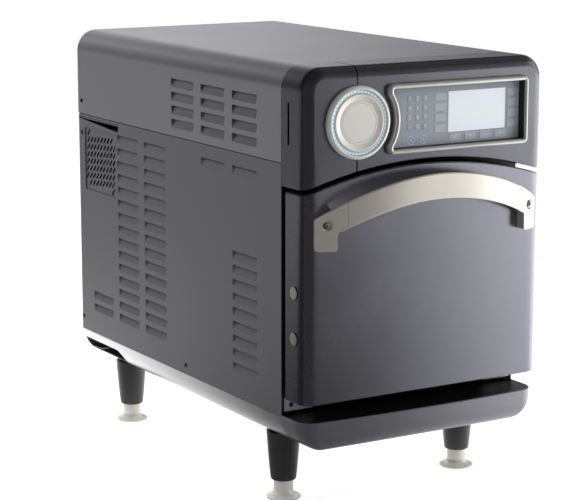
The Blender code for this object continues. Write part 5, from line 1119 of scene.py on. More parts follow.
    def make_small_parts(self) -> None:
        """Add the sill's plates, the felt behind the seams and the vents, and the cord's inlet.

        A stainless plate shows beside each lower corner of the door. Felt behind the two side seams and a filter
        mat behind the back's vents keep light out. The inlet is a threaded sleeve with a nut, bored for the cord.
        """
        strip, felt = Surface(), Surface()
        for side, _ in SIDES:
            strip.slab((side * 0.1730, self.front_plane + 0.0002, 0.1610), (0.0230, 0.0002, 0.0095))
            felt.slab((side * 0.1992, 0.0450, 0.5045), (0.0005, 0.3200, 0.0050))
        felt.slab((0.0, self.back_plane - 0.0032, 0.3850), (0.1850, 0.0008, 0.2250))
        self.shop.put(strip.mesh("sill_plates"), "front_frame", SILL_STEEL, replaces=False)
        self.shop.put(felt.mesh("seam_felt"), "top_cover", FELT, replaces=False)
        rear, nut, sleeve, bore, face, inside = 0.3770, 0.0210, 0.0150, 0.0075, 0.3675, 0.3597
        profile = [(bore, inside), (sleeve, inside), (sleeve, face), (nut, face), (nut, rear - 0.0015),
                   (nut - 0.0015, rear), (bore + 0.002, rear), (bore, rear - 0.002), (bore, inside)]
        gland = Surface().turn(profile, (-0.1200, 0, 0.2050), BACK, 36)
        self.shop.put(gland.mesh("gland_body"), "cord_gland", BLACK_PLASTIC)


# Legs


@dataclass
class Legs:
    """Four tapered nylon legs, each with a turned foot that screws in and out."""

    shop: Workshop
    side: float = 0.1545
    front: float = -0.207
    rear: float = 0.283
    steps: int = 48

    def make(self) -> None:
        """Build the four legs and feet."""
        for y, ahead in ((self.front, "front"), (self.rear, "rear")):
            for side, hand in SIDES:
                for name, finish, profile in (("leg", LEG_NYLON, self.leg()), ("foot", FOOT_STEEL, self.foot())):
                    part = Surface().turn(profile, (side * self.side, y, 0), UP, self.steps)
                    place = f"_{ahead}_{hand}"
                    self.shop.put(part.mesh(name + "_body" + place), name + place, finish)

    def leg(self) -> list[Pair]:
        """Profile of a leg, which swells softly from foot to top: r = r0 + (r1 - r0) * t ** 0.85."""
        low, high, narrow, wide, edge, bore = 0.0280, 0.1013, 0.0187, 0.0250, 0.0024, 0.0600
        rise = np.linspace(0, 1, 14)
        cut, lift = quarter(4)
        rim = spread(narrow - edge * lift, low + edge * cut)
        wall = spread(narrow + (wide - narrow) * rise**0.85, low + edge + (high - low - edge) * rise)
        inside = [(0.0, bore), (0.0060, bore), (0.0145, bore), (0.0145, low), (narrow - edge, low)]
        return inside + rim.tolist() + wall.tolist()[1:] + [(0.0, high)]

    def foot(self) -> list[Pair]:
        """Profile of a foot: a thin disc, a neck that rises from it in a quarter circle, and the stud."""
        neck, disc, edge, high, stud, shelf = 0.0142, 0.0255, 0.0022, 0.0780, 0.0060, 0.0440
        bend = np.linspace(0, math.pi / 2, 8)
        reach = disc - neck - 0.002
        flare = spread(neck + reach * (1 - np.sin(bend)), edge + 0.0016 + 0.0085 * (1 - np.cos(bend)))
        rim = spread(disc - edge / 2 + edge / 2 * np.cos(bend), edge + 0.0005 * np.sin(bend))
        profile = [(0, 0), (disc - edge, 0), (disc - edge * 0.3, edge * 0.3), (disc, edge * 0.9)]
        return profile + rim.tolist() + flare.tolist() + [(neck, shelf), (stud, shelf), (stud, high), (0, high)]


# The fascia with its badge and controls


def arch(x: Array, apex: float, radius: float = 0.660) -> Array:
    """Height of the arch between fascia and door: apex - (R - sqrt(R ** 2 - x ** 2))."""
    return apex - (radius - np.sqrt(radius**2 - np.asarray(x) ** 2))


def bezel_loop(inset: float) -> Array:
    """Outline of the control bezel, moved inwards by an inset.

    The left side is hollow about the badge's middle, in a circle of the badge's radius plus a clearance.

    Args:
        inset: Distance from the bezel's outer edge.

    Returns:
        The same number of points for every inset, anticlockwise.
    """
    middle = (BADGE_MIDDLE[0], BADGE_MIDDLE[2])
    radius, left, right = 0.0594 + inset, -0.0695 + inset, 0.1695 - inset
    top, bottom = 0.6125 - inset, 0.5145 + inset
    corner = max(0.0080 - inset, 0.0015)
    reach = math.degrees(math.acos((left - middle[0]) / radius))
    hollow = arc(middle, radius, np.linspace(reach, -reach, 29))
    corners = [(left, bottom, corner), (right, bottom, corner), (right, top, corner), (left, top, corner)]
    return np.concatenate([rounded_loop(corners, 8), hollow])


@dataclass
class Fascia:
    """The sprayed moulding above the door, in two parts that meet under the badge."""

    shop: Workshop
    half_width: float = HALF_WIDTH
    face: float = FACE
    rear: float = -0.2796
    top: float = TOP
    apex: float = 0.5048
    shoulder: float = SHOULDER
    edge: float = ROLLED_EDGE
    lip: float = 0.0016
    wall: float = 0.003
    split: float = 0.0020
    window: float = 0.0052
    skirt_top: float = 0.5098
    slot_y: Pair = (-0.3011, -0.2961)
    slot_z: Pair = (0.5325, 0.5905)
    edge_steps: int = 9

    def outline(self) -> Array:
        """The front view from the skirt's top on the right, over the shoulders, to the skirt's top on the left."""
        inner, level = self.half_width - self.shoulder, self.top - self.shoulder
        rise = line_set(np.linspace(self.skirt_top, level, 7), list(self.slot_z))
        half = np.concatenate([spread(self.half_width, rise),
                               arc((inner, level), self.shoulder, np.linspace(0, 90, 15)[1:])])
        return np.concatenate([half, spread(np.linspace(inner, -inner, 25)[1:], self.top), mirrored(half)[1:]])

    def levels(self) -> tuple[Array, Array]:
        """Inset and y of each line round the shell, from its rear edge over the rolled edge to its face."""
        cut, lift = quarter(self.edge_steps)
        straight = line_set([self.rear, self.face + self.edge], list(self.slot_y))[::-1]
        insets = np.concatenate([np.zeros(len(straight)), self.edge * cut[1:]])
        return insets, np.concatenate([straight, self.face + self.edge * lift[1:]])

    def make(self) -> None:
        """Join the rolled shell, its flat face and the skirt along the arch, and part it under the badge."""
        skin = Surface()
        front = self.add_roll(skin)
        self.add_skirt(skin)
        skin.fill([front, upright(bezel_loop(self.window), self.face)], AHEAD)
        # Faces behind the rolled edge take the darker return coat, a painted shade of the sides.
        whole = shade_returns(skin.mesh("fascia_shell"), self.face + self.edge * RETURN_SHADE_START)
        for name, sign in (("fascia_main", 1), ("fascia_end", -1)):
            work = bmesh.new()
            work.from_mesh(whole)
            bmesh.ops.bisect_plane(
                work, geom=work.verts[:] + work.edges[:] + work.faces[:], dist=WELD / 2,
                plane_co=(BADGE_MIDDLE[0] + sign * self.split / 2, 0, 0), plane_no=(-sign, 0, 0), clear_outer=True,
            )
            mesh = mesh_from(work, name + "_shell")
            self.shop.put(mesh, name, FRONT_COAT, FRONT_RETURN_SHADE, wall=self.wall, crease=BROAD_CREASE)

    def add_roll(self, skin: Surface) -> Array:
        """Add the sides and top: P = outline + mitre * inset, with inset r (1 - cos a) and y = face + r (1 - sin a).

        Args:
            skin: The surface that gets them.

        Returns:
            The edge of the flat face, with a straight lower side.
        """
        loop = self.outline()
        insets, levels = self.levels()
        flat = inset_lines(loop, insets)
        points = spread(flat[..., 0], levels, flat[..., 1])
        cells = middles(loop)
        slot = (cells[:, :1] < -self.half_width + LINE_GAP) & within(cells[:, 1:], self.slot_z)
        skin.grid(points, keep=~(slot & within(middles(levels)[None], self.slot_y)))
        low = self.plan()[len(levels) : -len(levels)]
        return np.concatenate([points[:, -1], spread(low[:, 0], low[:, 1], self.skirt_top)])

    def plan(self) -> Array:
        """The shell seen from above: left side from the rear, rolled edge, face, and the same mirrored."""
        insets, levels = self.levels()
        left = spread(insets - self.half_width, levels)
        reach = self.half_width - self.edge
        return np.concatenate([left, spread(np.linspace(-reach, reach, 61)[1:-1], self.face), mirrored(left)])

    def add_skirt(self, skin: Surface) -> None:
        """Add the strip down to the arch, its small lip, and the floor behind it: z runs from arch(x) upwards.

        Args:
            skin: The surface that gets them.
        """
        path = self.plan()
        cut, lift = quarter(3)
        foot = arch(path[:, 0], self.apex)
        rolled = foot[:, None] + self.lip * lift[::-1][None]
        rise = np.linspace(0, 1, 5)[1:]
        straight = rolled[:, -1:] + (self.skirt_top - rolled[:, -1:]) * rise[None]
        flat = inset_lines(path, np.concatenate([self.lip * cut[::-1], np.zeros(len(rise))]))
        points = np.concatenate([flat, np.concatenate([rolled, straight], 1)[..., None]], 2)
        points[0, :, 1] = points[-1, :, 1] = self.rear
        skin.grid(points)
        stops = np.sort([self.face + self.edge, *self.slot_y, self.rear])
        rim = points[len(stops) - 1 : 1 - len(stops), 0]
        depth = np.concatenate([rim[:, 1:2], np.broadcast_to(stops[None], (len(rim), len(stops)))], 1)
        skin.grid(spread(rim[:, :1], depth, rim[:, 2:]))


@dataclass
class Badge:
    """The round ornament: a rolled rim, a ring of light and a plain dished disc with two turned grooves."""

    shop: Workshop
    radius: float = 0.051
    rim: float = 0.006
    height: float = 0.0080
    flank_share: float = 0.35
    ring_width: float = 0.0046
    ring_height: float = 0.0055
    dish: float = 0.0012
    grooves: Pair = (0.0095, 0.0125)
    steps: int = 96

    def make(self) -> None:
        """Turn the three parts about the badge's axis, which points at the viewer."""
        base = (BADGE_MIDDLE[0], FACE, BADGE_MIDDLE[2])
        inner = self.radius - self.rim
        bead, flank = self.rim / 4, self.height * self.flank_share
        bend = np.linspace(0, math.pi / 2, 13)
        outside = spread(inner + bead + (self.rim - bead) * np.cos(bend),
                         flank + (self.height - flank) * np.sin(bend))
        inside = spread(inner + bead * (1 - np.sin(bend)), self.height - bead * (1 - np.cos(bend)))
        rim = [(inner, PLAY), (self.radius, PLAY)] + outside.tolist() + inside.tolist()[1:] + [(inner, PLAY)]
        outer, chamfer, top = inner - PLAY, 0.0006, self.ring_height
        within_ring = outer - self.ring_width
        ring = [(within_ring, PLAY), (outer, PLAY), (outer, top - 0.0005), (outer - chamfer, top),
                (within_ring + chamfer, top), (within_ring, top - 0.0005), (within_ring, PLAY)]
        disc, edge = within_ring - PLAY, self.height - bead
        low = edge - self.dish
        face = [(0, PLAY), (disc, PLAY), (disc, edge - 0.0009), (disc - 0.0005, edge - 0.0002),
                (disc - 0.0014, edge), (disc - 0.0030, edge - 0.0002), (disc - 0.0070, low + 0.0002)]
        for groove in self.grooves:
            steps = ((0.0006, 0), (0.0003, -0.0006), (-0.0003, -0.0006), (-0.0006, 0))
            face += [(disc - groove + out, low + down) for out, down in steps]
        face += [(0.010, low), (0, low)]
        for name, profile, finish in (("badge_rim", rim, RIM_NICKEL), ("light_ring", ring, RING_LIGHT),
                                      ("badge_face", face, BADGE_NICKEL)):
            part = Surface().turn(profile, base, AHEAD, self.steps)
            self.shop.put(part.mesh(name + "_turned"), name, finish)


@dataclass
class Controls:
    """The bezel, the printed overlay with its raised keys and plain numbers, and the lit display."""

    shop: Workshop
    bezel_rear: float = -0.3413
    bezel_height: float = 0.0085
    bezel_rim: float = 0.0070
    bezel_skirt: float = 0.0015
    flank_share: float = 0.45
    inner_drop: float = 0.25
    overlay_front: float = -0.3345
    overlay_rear: float = -0.3315
    key_height: float = 0.0005
    lcd_middle: Pair = (0.0883, 0.5665)
    lcd_size: Pair = (0.0992, 0.0580)
    soft_key: Pair = (0.01955, 0.0115)
    soft_offset: float = 0.0631
    soft_top: float = 0.58885
    soft_pitch: float = 0.0149
    low_pitch: float = 0.02646
    low_shift: float = 0.0020
    low_z: float = 0.5302
    number_middle: Pair = (-0.0136, 0.5688)
    number_key: Pair = (0.0095, 0.0095)
    number_pitch: Pair = (0.01305, 0.0131)
    round_spacing: float = 0.0213
    round_radius: float = 0.0067
    print_height: float = 0.0001

    def make(self) -> None:
        """Build the control group."""
        self.make_bezel()
        self.make_panes()
        self.make_keys()
        self.make_numbers()

    def make_bezel(self) -> None:
        """Carry the crowned section round the bezel, one outline for each inset, with a black wall inside it that
        paints the shade of the recess down to the overlay.

        The crown is two quarter ellipses: out of the flank up to the crest, and from there down to the inner edge.
        """
        rear, front = self.bezel_rear, self.bezel_rear - self.bezel_height
        flank, drop = self.bezel_height * self.flank_share, self.bezel_height * self.inner_drop
        half = self.bezel_rim / 2
        bend = np.linspace(0, math.pi / 2, 8)
        outside = spread(half * (1 - np.cos(bend)), rear - flank - (self.bezel_height - flank) * np.sin(bend))
        inside = spread(half * (1 + np.sin(bend)), front + drop * (1 - np.cos(bend)))
        crown = [(self.bezel_rim - self.bezel_skirt, rear), (0, rear)] + outside.tolist() + inside.tolist()[1:]
        # The inner wall takes black plastic as painted shade of the recess.
        wall = [crown[-1], (self.bezel_rim, self.overlay_rear),
                (self.bezel_rim - self.bezel_skirt, self.overlay_rear), crown[0]]
        ring = Surface()
        for finish, section in enumerate((crown, wall)):
            rings = [upright(bezel_loop(inset), y) for inset, y in section]
            ring.grid(np.stack(rings, 1), round_u=True, finish=finish)
        self.shop.put(ring.mesh("bezel_ring"), "display_bezel", BEZEL_NICKEL, BLACK_PLASTIC, crease=BROAD_CREASE)

    def plate(self, surface: Surface, loops: list[Array], front: float, rear: float) -> Surface:
        """Add a flat plate with holes to a surface: front and rear fills joined by walls.

        Args:
            surface: What it is added to.
            loops: Outline and holes in the front view.
            front: Its front level.
            rear: Its rear level.

        Returns:
            The surface.
        """
        surface.fill([upright(loop, front) for loop in loops], AHEAD)
        surface.fill([upright(loop, rear) for loop in loops], BACK)
        for loop in loops:
            surface.grid(np.stack([upright(loop, rear), upright(loop, front)], 1), round_u=True)
        return surface

    def make_panes(self) -> None:
        """Cut the overlay to the bezel's inside with the display's window in it, and set the pane a hair lower."""
        width, height = self.lcd_size
        loops = [bezel_loop(self.bezel_rim + PLAY), box_loop(self.lcd_middle, self.lcd_size, 0.001)]
        film = self.plate(Surface(), loops, self.overlay_front, self.overlay_rear)
        self.shop.put(film.mesh("overlay_film"), "keypad_overlay", KEYPAD_FILM)
        loops = [box_loop(self.lcd_middle, (width - 2 * PLAY, height - 2 * PLAY), 0.0008)]
        pane = self.plate(Surface(), loops, self.overlay_front - self.key_height / 2, self.overlay_rear)
        self.shop.put(pane.mesh("display_pane"), "display_window", DISPLAY, edge=0.0003, edge_steps=1)

    def make_pads(self, name: str, finish: Finish, spots: list[Pair], size: Pair, corner: float) -> None:
        """Lay out raised keys: each outline steps inwards as it rises, which rounds the key's edge.

        Args:
            name: The piece's name.
            finish: Its finish.
            spots: The keys' middles.
            size: Their width and height.
            corner: Radius of their corners.
        """
        levels = ((0, self.overlay_front + 0.0001), (0.0001, self.overlay_front - self.key_height * 0.6),
                  (0.0004, self.overlay_front - self.key_height))
        keys = Surface()
        for spot in spots:
            loop = box_loop(spot, size, corner)
            points = np.stack([upright(loop + mitres(loop) * inset, y) for inset, y in levels], 1)
            keys.grid(points, round_u=True)
            keys.fill([points[:, -1]], AHEAD)
            keys.fill([points[:, 0]], BACK)
        self.shop.put(keys.mesh(name), "keypad_overlay", finish, replaces=False)

    def number_spot(self, column: int, row: int) -> Pair:
        """Middle of a key of the number pad, with columns and rows counted from the top left."""
        (x, z), (across, down) = self.number_middle, self.number_pitch
        return x + (column - 1) * across, z + (1.5 - row) * down

    def low_spot(self, column: int) -> Pair:
        """Middle of a key below the display."""
        return self.lcd_middle[0] + self.low_shift + (column - 1.5) * self.low_pitch, self.low_z

    def round_spot(self, side: int) -> Pair:
        """Middle of a round key, to the left or the right below the number pad."""
        return self.number_middle[0] + side * self.round_spacing / 2, self.low_z

    def make_keys(self) -> None:
        """Lay out four keys each side of the display, four below it, the number pad and two rings under it."""
        soft = [(self.lcd_middle[0] + side * self.soft_offset, self.soft_top - row * self.soft_pitch)
                for side, _ in SIDES for row in range(4)]
        soft += [self.low_spot(column) for column in range(4)]
        self.make_pads("soft_keys", KEY_FILM, soft, self.soft_key, 0.001)
        pad = [self.number_spot(column, row) for column in range(3) for row in range(4)]
        self.make_pads("number_keys", KEYPAD_FILM, pad, self.number_key, 0.0015)
        rings = Surface()
        turn = np.linspace(0, 360, 33)[:-1]
        for side, _ in SIDES:
            loops = [arc(self.round_spot(side), self.round_radius - step, turn) for step in (0.0004, 0.0016)]
            self.plate(rings, loops, self.overlay_front - 0.0004, self.overlay_front + 0.0001)
        self.shop.put(rings.mesh("round_key_rings"), "keypad_overlay", ROUND_KEY_PRINT, replaces=False)

    def make_numbers(self) -> None:
        """Print a plain number on each key of the pad, and a plain sign on the others."""
        low, high = self.overlay_front - 0.0002, self.overlay_front - self.key_height - self.print_height
        signs = [(text, self.number_spot(column, row), high, 0.0085)
                 for row, texts in enumerate(("123", "456", "789", "-0+")) for column, text in enumerate(texts)]
        for side, text in ((-1, "o"), (1, "x")):
            x, z = self.round_spot(side)
            signs.append((text, (x, z + 0.0006), low, 0.0075))
        signs += [(text, self.low_spot(column), high, 0.0095) for column, text in enumerate("<>-+")]
        work = bmesh.new()
        for text, (x, z), y, size in signs:
            mesh = self.printed(text, (x, y, z), size)
            work.from_mesh(mesh)
            bpy.data.meshes.remove(mesh)
        self.shop.put(mesh_from(work, "key_numbers"), "keypad_overlay", KEY_PRINT, replaces=False)

    def printed(self, text: str, spot: Triple, size: float) -> Mesh:
        """Turn one sign into a thin mesh that faces the viewer.

        Args:
            text: The sign.
            spot: Its middle.
            size: Height of the type.

        Returns:
            The placed mesh.
        """
        curve = bpy.data.curves.new("sign", "FONT")
        curve.body, curve.size = text, size
        curve.align_x = curve.align_y = "CENTER"
        curve.extrude, curve.offset = self.print_height, 0.00012
        curve.resolution_u = 3
        carrier = show(bpy.data.objects.new("sign", curve))
        shape = carrier.evaluated_get(bpy.context.evaluated_depsgraph_get())
        mesh = bpy.data.meshes.new_from_object(shape)
        bpy.data.objects.remove(carrier)
        bpy.data.curves.remove(curve)
        mesh.transform(Matrix.Translation(spot) @ Matrix.Rotation(math.pi / 2, 4, "X"))
        return mesh


# The door and its handle


@dataclass
class Door:
    """The sprayed door shell, its plugs, and the stainless parts behind it."""

    shop: Workshop
    half_width: float = HALF_WIDTH
    face: float = FACE
    rear: float = -0.2910
    foot: float = 0.1720
    apex: float = 0.4983
    edge: float = ROLLED_EDGE
    lip: float = 0.0025
    wall: float = 0.003
    slot_front: float = -0.3182
    slot_x: Pair = (0.1895, 0.1985)
    plug_y: float = -0.3145
    plug_z: Pair = (0.3291, 0.2641)

    def make(self) -> None:
        """Build the door."""
        self.make_shell()
        self.make_plugs()
        for node, finish, edge in (("door_inner_pan", CHAMBER_STEEL, 0.0008), ("door_seal", SEAL_RUBBER, 0.0015),
                                   ("door_choke_plate", CHAMBER_STEEL, 0.0008)):
            self.shop.softened(node, finish, edge)
        for _, hand in SIDES:
            self.shop.dress(FRAME_STEEL, "hinge_arm_" + hand)
            self.shop.dress(ZINC, "hinge_knuckle_" + hand)

    def make_shell(self) -> None:
        """Carry the plan path C(s) up the door: P = C(s) + m(s) * inset(v), with z between foot and arch.

        The lower rim leaves a slot open on each side, through which the hinge's arm swings.
        """
        inner = self.half_width - self.edge
        left = np.concatenate([spread(-self.half_width, [self.rear, self.slot_front]),
                               arc((-inner, self.face + self.edge), self.edge, np.linspace(180, 270, 9))])
        path = np.concatenate([left, spread(np.linspace(-inner, inner, 49)[1:-1], self.face), mirrored(left)])
        cut, lift = quarter(3)
        rise = np.linspace(0, 1, 9)[1:-1]
        tall = arch(path[:, 0], self.apex)[:, None]
        low = np.broadcast_to(self.foot + self.lip * lift[::-1], (len(path), len(lift)))
        start = low[:, -1:]
        z = np.concatenate([low, start + (tall - self.lip - start) * rise, tall - self.lip * lift], 1)
        flat = inset_lines(path, np.concatenate([self.lip * cut[::-1], np.zeros(len(rise)), self.lip * cut]))
        points = spread(flat[..., 0], flat[..., 1], z)
        points[0, :, 1] = points[-1, :, 1] = self.rear
        skin = Surface()
        skin.grid(points)
        for level in (0, -1):
            rim = points[2:-2, level]
            rows = [spread(rim[:, 0], y, rim[:, 2]) for y in (rim[:, 1], self.slot_front, self.rear)]
            keep = np.ones((len(rim) - 1, 2), bool)
            if level == 0:
                keep[within(np.abs(middles(rim[:, 0])), self.slot_x), 1] = False
            skin.grid(np.stack(rows, 1), keep=keep)
        # Faces behind the rolled edge take the darker return coat, a painted shade of the sides.
        shell = shade_returns(skin.mesh("door_shell"), self.face + self.edge * RETURN_SHADE_START)
        # The door's face takes the lighter copy of the front's coat, a painted light.
        self.shop.put(shell, "door_cover", DOOR_COAT_LIT, DOOR_RETURN_SHADE, wall=self.wall, crease=BROAD_CREASE)

    def make_plugs(self) -> None:
        """Turn the domed plugs that close the side walls' holes."""
        radius, stem, head, brim, rim = 0.0093, 0.0060, 0.0015, 0.0008, 0.0012
        bend = np.linspace(0, math.pi / 2, 6)
        dome = spread(radius - rim + rim * np.cos(bend), brim + (head - brim) * np.sin(bend))
        profile = [(0, -0.003), (stem, -0.003), (stem, PLAY), (radius, PLAY)] + dome.tolist() + [(0, head)]
        for side, hand in SIDES:
            for z, level in zip(self.plug_z, ("upper", "lower")):
                name = f"door_plug_{hand}_{level}"
                plug = Surface().turn(profile, (side * self.half_width, self.plug_y, z), (side, 0, 0), 40)
                self.shop.put(plug.mesh(name + "_turned"), name, BRIGHT_SCREW)


class Wall(Enum):
    """The four walls of a stretch of bracket, as where each lies in its grid of points."""

    INNER = (0, slice(None))
    OUTER = (-1, slice(None))
    LOWER = (slice(None), 0)
    UPPER = (slice(None), -1)


@dataclass
class Handle:
    """The bowed and arched handle: a bar and two end brackets with socket screws."""

    shop: Workshop
    half_length: float = 0.187
    seam: float = 0.1446
    foot_x: float = 0.1586
    top: float = 0.4880
    arch_radius: float = 0.356
    width: float = 0.036
    thickness: float = 0.006
    foot_z: float = 0.3900
    door_face: float = -0.3413
    round: float = 0.0018
    gap: float = 0.00025
    crown: float = 0.0001
    bow_y: float = -0.3770
    bow_depth: float = 0.0330
    screw_x: float = 0.172
    screw_z: float = 0.4260
    recess: float = 0.003
    fall_reach: float = 0.012

    def height(self, x: Array) -> Array:
        """Top of the handle: top - (R - sqrt(R ** 2 - x ** 2))."""
        return arch(x, self.top, self.arch_radius)

    def front(self, x: Array) -> Array:
        """Front of the handle, bowed out in the middle: y = y0 + depth * (|x| / half length) ** 3.3."""
        return self.bow_y + self.bow_depth * (np.abs(x) / self.half_length) ** 3.3

    def make(self) -> None:
        """Build the bar, the brackets and the screws."""
        self.make_bar()
        for side, hand in SIDES:
            self.make_bracket(side, hand)
        self.make_screws()

    def make_bar(self) -> None:
        """Carry a rounded section along the bow: P = (x, front(x) + a, height(x) - b).

        The section's front is crowned, so it lies back by crown * t ** 2, with t from -1 to 1 over its height.
        """
        x = np.linspace(-self.seam + self.gap, self.seam - self.gap, 61)[:, None]
        section = box_loop((self.thickness / 2, -self.width / 2), (self.thickness, self.width), self.round, 4)
        share = (section[:, 1] + self.width / 2) / (self.width / 2)
        section[:, 0] += np.where(section[:, 0] < self.thickness / 2, self.crown * share**2, 0)
        points = spread(x, self.front(x) + section[None, :, 0], self.height(x) + section[None, :, 1])
        bar = Surface()
        bar.grid(points, round_v=True)
        bar.fill([points[0]], (-1, 0, 0))
        bar.fill([points[-1]], (1, 0, 0))
        self.shop.put(bar.mesh("handle_bar_swept"), "handle_bar", HANDLE_NICKEL, crease=BROAD_CREASE)

    def make_bracket(self, side: int, hand: str) -> None:
        """Build a bracket from an arm, which goes on from the bar, and a block that stands on the door.

        Both are grids with lines along x and rows between a lower and an upper curve, so that their faces follow
        the bow. Where the foot drops below the arm, the arm's lower curve ends in a quarter circle.

        Args:
            side: -1 for left and 1 for right.
            hand: The side's name.
        """
        corner, fillet, top_drop, top_reach, slope = 0.0050, 0.0060, 0.0015, 0.003, 0.0036
        cut_in, sweep = quarter(6)[0], np.radians(np.linspace(0, 90, 7))
        rows = np.array([0, 0.08, 0.25, 0.42, 0.58, 0.75, 0.92, 1])
        start = self.foot_x - fillet
        arm_x = np.concatenate([np.linspace(self.seam + self.gap, start, 4)[:-1], start + fillet * np.sin(sweep)])
        arm_low = np.concatenate([self.height(arm_x[:3]) - self.width,
                                  self.height(start) - self.width - fillet * cut_in])
        block_x = np.concatenate([self.foot_x + corner * cut_in,
                                  np.linspace(self.foot_x + corner, self.half_length - corner, 7)[1:-1],
                                  self.half_length - corner * cut_in[::-1]])
        edge_in = np.minimum(block_x - self.foot_x, self.half_length - block_x)
        block_low = self.foot_z + corner - np.sqrt(corner**2 - np.clip(corner - edge_in, 0, corner) ** 2)
        step = np.full(len(block_x), arm_low[-1])
        past = np.clip((block_x - self.half_length + top_reach) / top_reach, 0, 1)
        block_top = self.height(block_x) - top_drop * past**2
        shell = Surface()
        walls = (Wall.INNER, Wall.LOWER, Wall.UPPER)
        arm_rear = self.add_block(shell, side, arm_x, (arm_low, self.height(arm_x)), rows, None, walls)
        walls = (Wall.OUTER, Wall.UPPER)
        block_rear = self.add_block(shell, side, block_x, (step, block_top), rows, self.door_face, walls, slope)
        shell.grid(np.stack([arm_rear[-1], block_rear[0]], 1))
        walls = (Wall.INNER, Wall.OUTER, Wall.LOWER)
        self.add_block(shell, side, block_x, (block_low, step), rows[[0, 2, 4, 7]], self.door_face, walls)
        profile = [(0, -self.recess), (0.0076, -self.recess), (0.0082, 0.006), (0, 0.006)]
        cutter = self.shop.object_of(Surface().turn(profile, self.screw_place(side), AHEAD, 40).mesh("recess"))
        self.shop.put(shell.mesh("handle_bracket_shell_" + hand), "handle_bracket_" + hand, HANDLE_NICKEL,
                      edge=self.round, edge_steps=3, crease=BROAD_CREASE, cutters=(cutter,))

    def screw_place(self, side: int, depth: float = 0.0) -> Triple:
        """Where a bracket's screw sits, at a depth below the bracket's front."""
        return side * self.screw_x, float(self.front(np.array(self.screw_x))) + depth, self.screw_z

    def add_block(
        self,
        shell: Surface,
        side: int,
        x: Array,
        curves: tuple[Array, Array],
        rows: Array,
        back: float | None,
        walls: tuple[Wall, ...],
        fall: float = 0.0,
    ) -> Array:
        """Add one stretch of a bracket: its front and its rear as grids, and the walls that no other stretch shares.

        Args:
            shell: The surface that gets it.
            side: -1 for left and 1 for right.
            x: Its lines along x, on the right-hand side.
            curves: Its lower and upper curve, as heights over x.
            rows: Shares of the height at which its rows lie.
            back: Its rear level, or None for one wall's thickness behind the front.
            walls: The walls that it gets.
            fall: How far its top slopes down over fall_reach towards the door.

        Returns:
            The points of its rear.
        """
        low, high = curves
        z = low[:, None] + (high - low)[:, None] * rows[None]
        x, front_y = (side * x)[:, None], np.broadcast_to(self.front(x)[:, None], z.shape)
        rear_y = front_y + self.thickness if back is None else np.full(z.shape, back)
        rear_z = z - fall * rows[None] * (rear_y - front_y) / self.fall_reach
        front, rear = spread(x, front_y, z), spread(x, rear_y, rear_z)
        shell.grid(front)
        shell.grid(rear)
        for wall in walls:
            shell.grid(np.stack([front[wall.value], rear[wall.value]], 1))
        return rear

    def make_screws(self) -> None:
        """Button-head socket screws at the bottom of the brackets' recesses."""
        bend = np.linspace(0, math.pi / 2, 7)
        dome = spread(0.0024 + 0.0029 * np.cos(bend), 0.0006 + 0.0022 * np.sin(bend))
        profile = [(0, 0), (0.0053, 0)] + dome.tolist() + [(0.0021, 0.0028), (0.0019, 0.0010), (0, 0.0010)]
        screws = Surface()
        for side, _ in SIDES:
            screws.turn(profile, self.screw_place(side, self.recess), AHEAD, 36)
        self.shop.put(screws.mesh("handle_screws"), "handle_bar", BRIGHT_SCREW, replaces=False)


# The crumb tray


@dataclass
class Tray:
    """The crumb tray: a moulded front whose top is dressed near black as painted shade, and a folded sheet pan behind
    it.
    """

    shop: Workshop
    half_width: float = HALF_WIDTH
    rear: float = -0.2793
    top: float = 0.1465
    foot: float = 0.1016
    corner: float = 0.026
    side_round: float = 0.042
    front_round: float = 0.024
    lip: float = 0.0018
    bow_y: float = -0.3460
    bow_depth: float = 0.0080

    def bow(self, x: Array) -> Array:
        """Front of the tray in plan: y = y0 + depth * (x / half width) ** 2."""
        return self.bow_y + self.bow_depth * (np.asarray(x) / self.half_width) ** 2

    def make(self) -> None:
        """Sweep the front: each plan point C has an inner point Q, and the edge is a quarter ellipse between them."""
        inner = self.half_width - self.corner
        shoulder = float(self.bow(inner)) + self.corner
        left = np.concatenate([spread(-self.half_width, np.linspace(self.rear, shoulder, 7)[:-1]),
                               arc((-inner, shoulder), self.corner, np.linspace(180, 270, 13))])
        x = np.linspace(-inner, inner, 41)[1:-1]
        path = np.concatenate([left, spread(x, self.bow(x)), mirrored(left)])
        reach = self.half_width - self.side_round
        level = float(self.bow(0)) + self.front_round
        goal = spread(np.clip(path[:, 0], -reach, reach), np.maximum(path[:, 1], level))
        bias = np.clip((np.abs(path[:, 0]) - inner) / self.corner, 0, 1)
        tall = self.front_round + (self.side_round - self.front_round) * bias**2
        angles = np.linspace(math.pi / 2, 0, 15)
        low = goal[:, None] + (path - goal)[:, None] * np.cos(angles)[None, :, None]
        low_z = self.foot + tall[:, None] * (1 - np.sin(angles))[None]
        cut, lift = quarter(3)
        flat = np.concatenate([low, inset_lines(path, self.lip * cut)], 1)
        rim_z = np.broadcast_to(self.top - self.lip * lift, (len(path), len(lift)))
        points = spread(flat[..., 0], flat[..., 1], np.concatenate([low_z, rim_z], 1))
        points[0, :, 1] = points[-1, :, 1] = self.rear
        front = Surface()
        front.grid(points)
        # The top takes the near black finish, a painted shade under the door.
        front.fill([points[:, -1]], UP, finish=1)
        front.fill([points[:, 0]], DOWN)
        front.fill([np.concatenate([points[0], points[-1][::-1]])], BACK)
        self.shop.put(front.mesh("tray_front_moulding"), "tray_front", TRAY_COAT, LEDGE_SHADE_BLACK, crease=BROAD_CREASE)
        self.shop.softened("tray_pan", ZINC, 0.0006)


# What lies inside


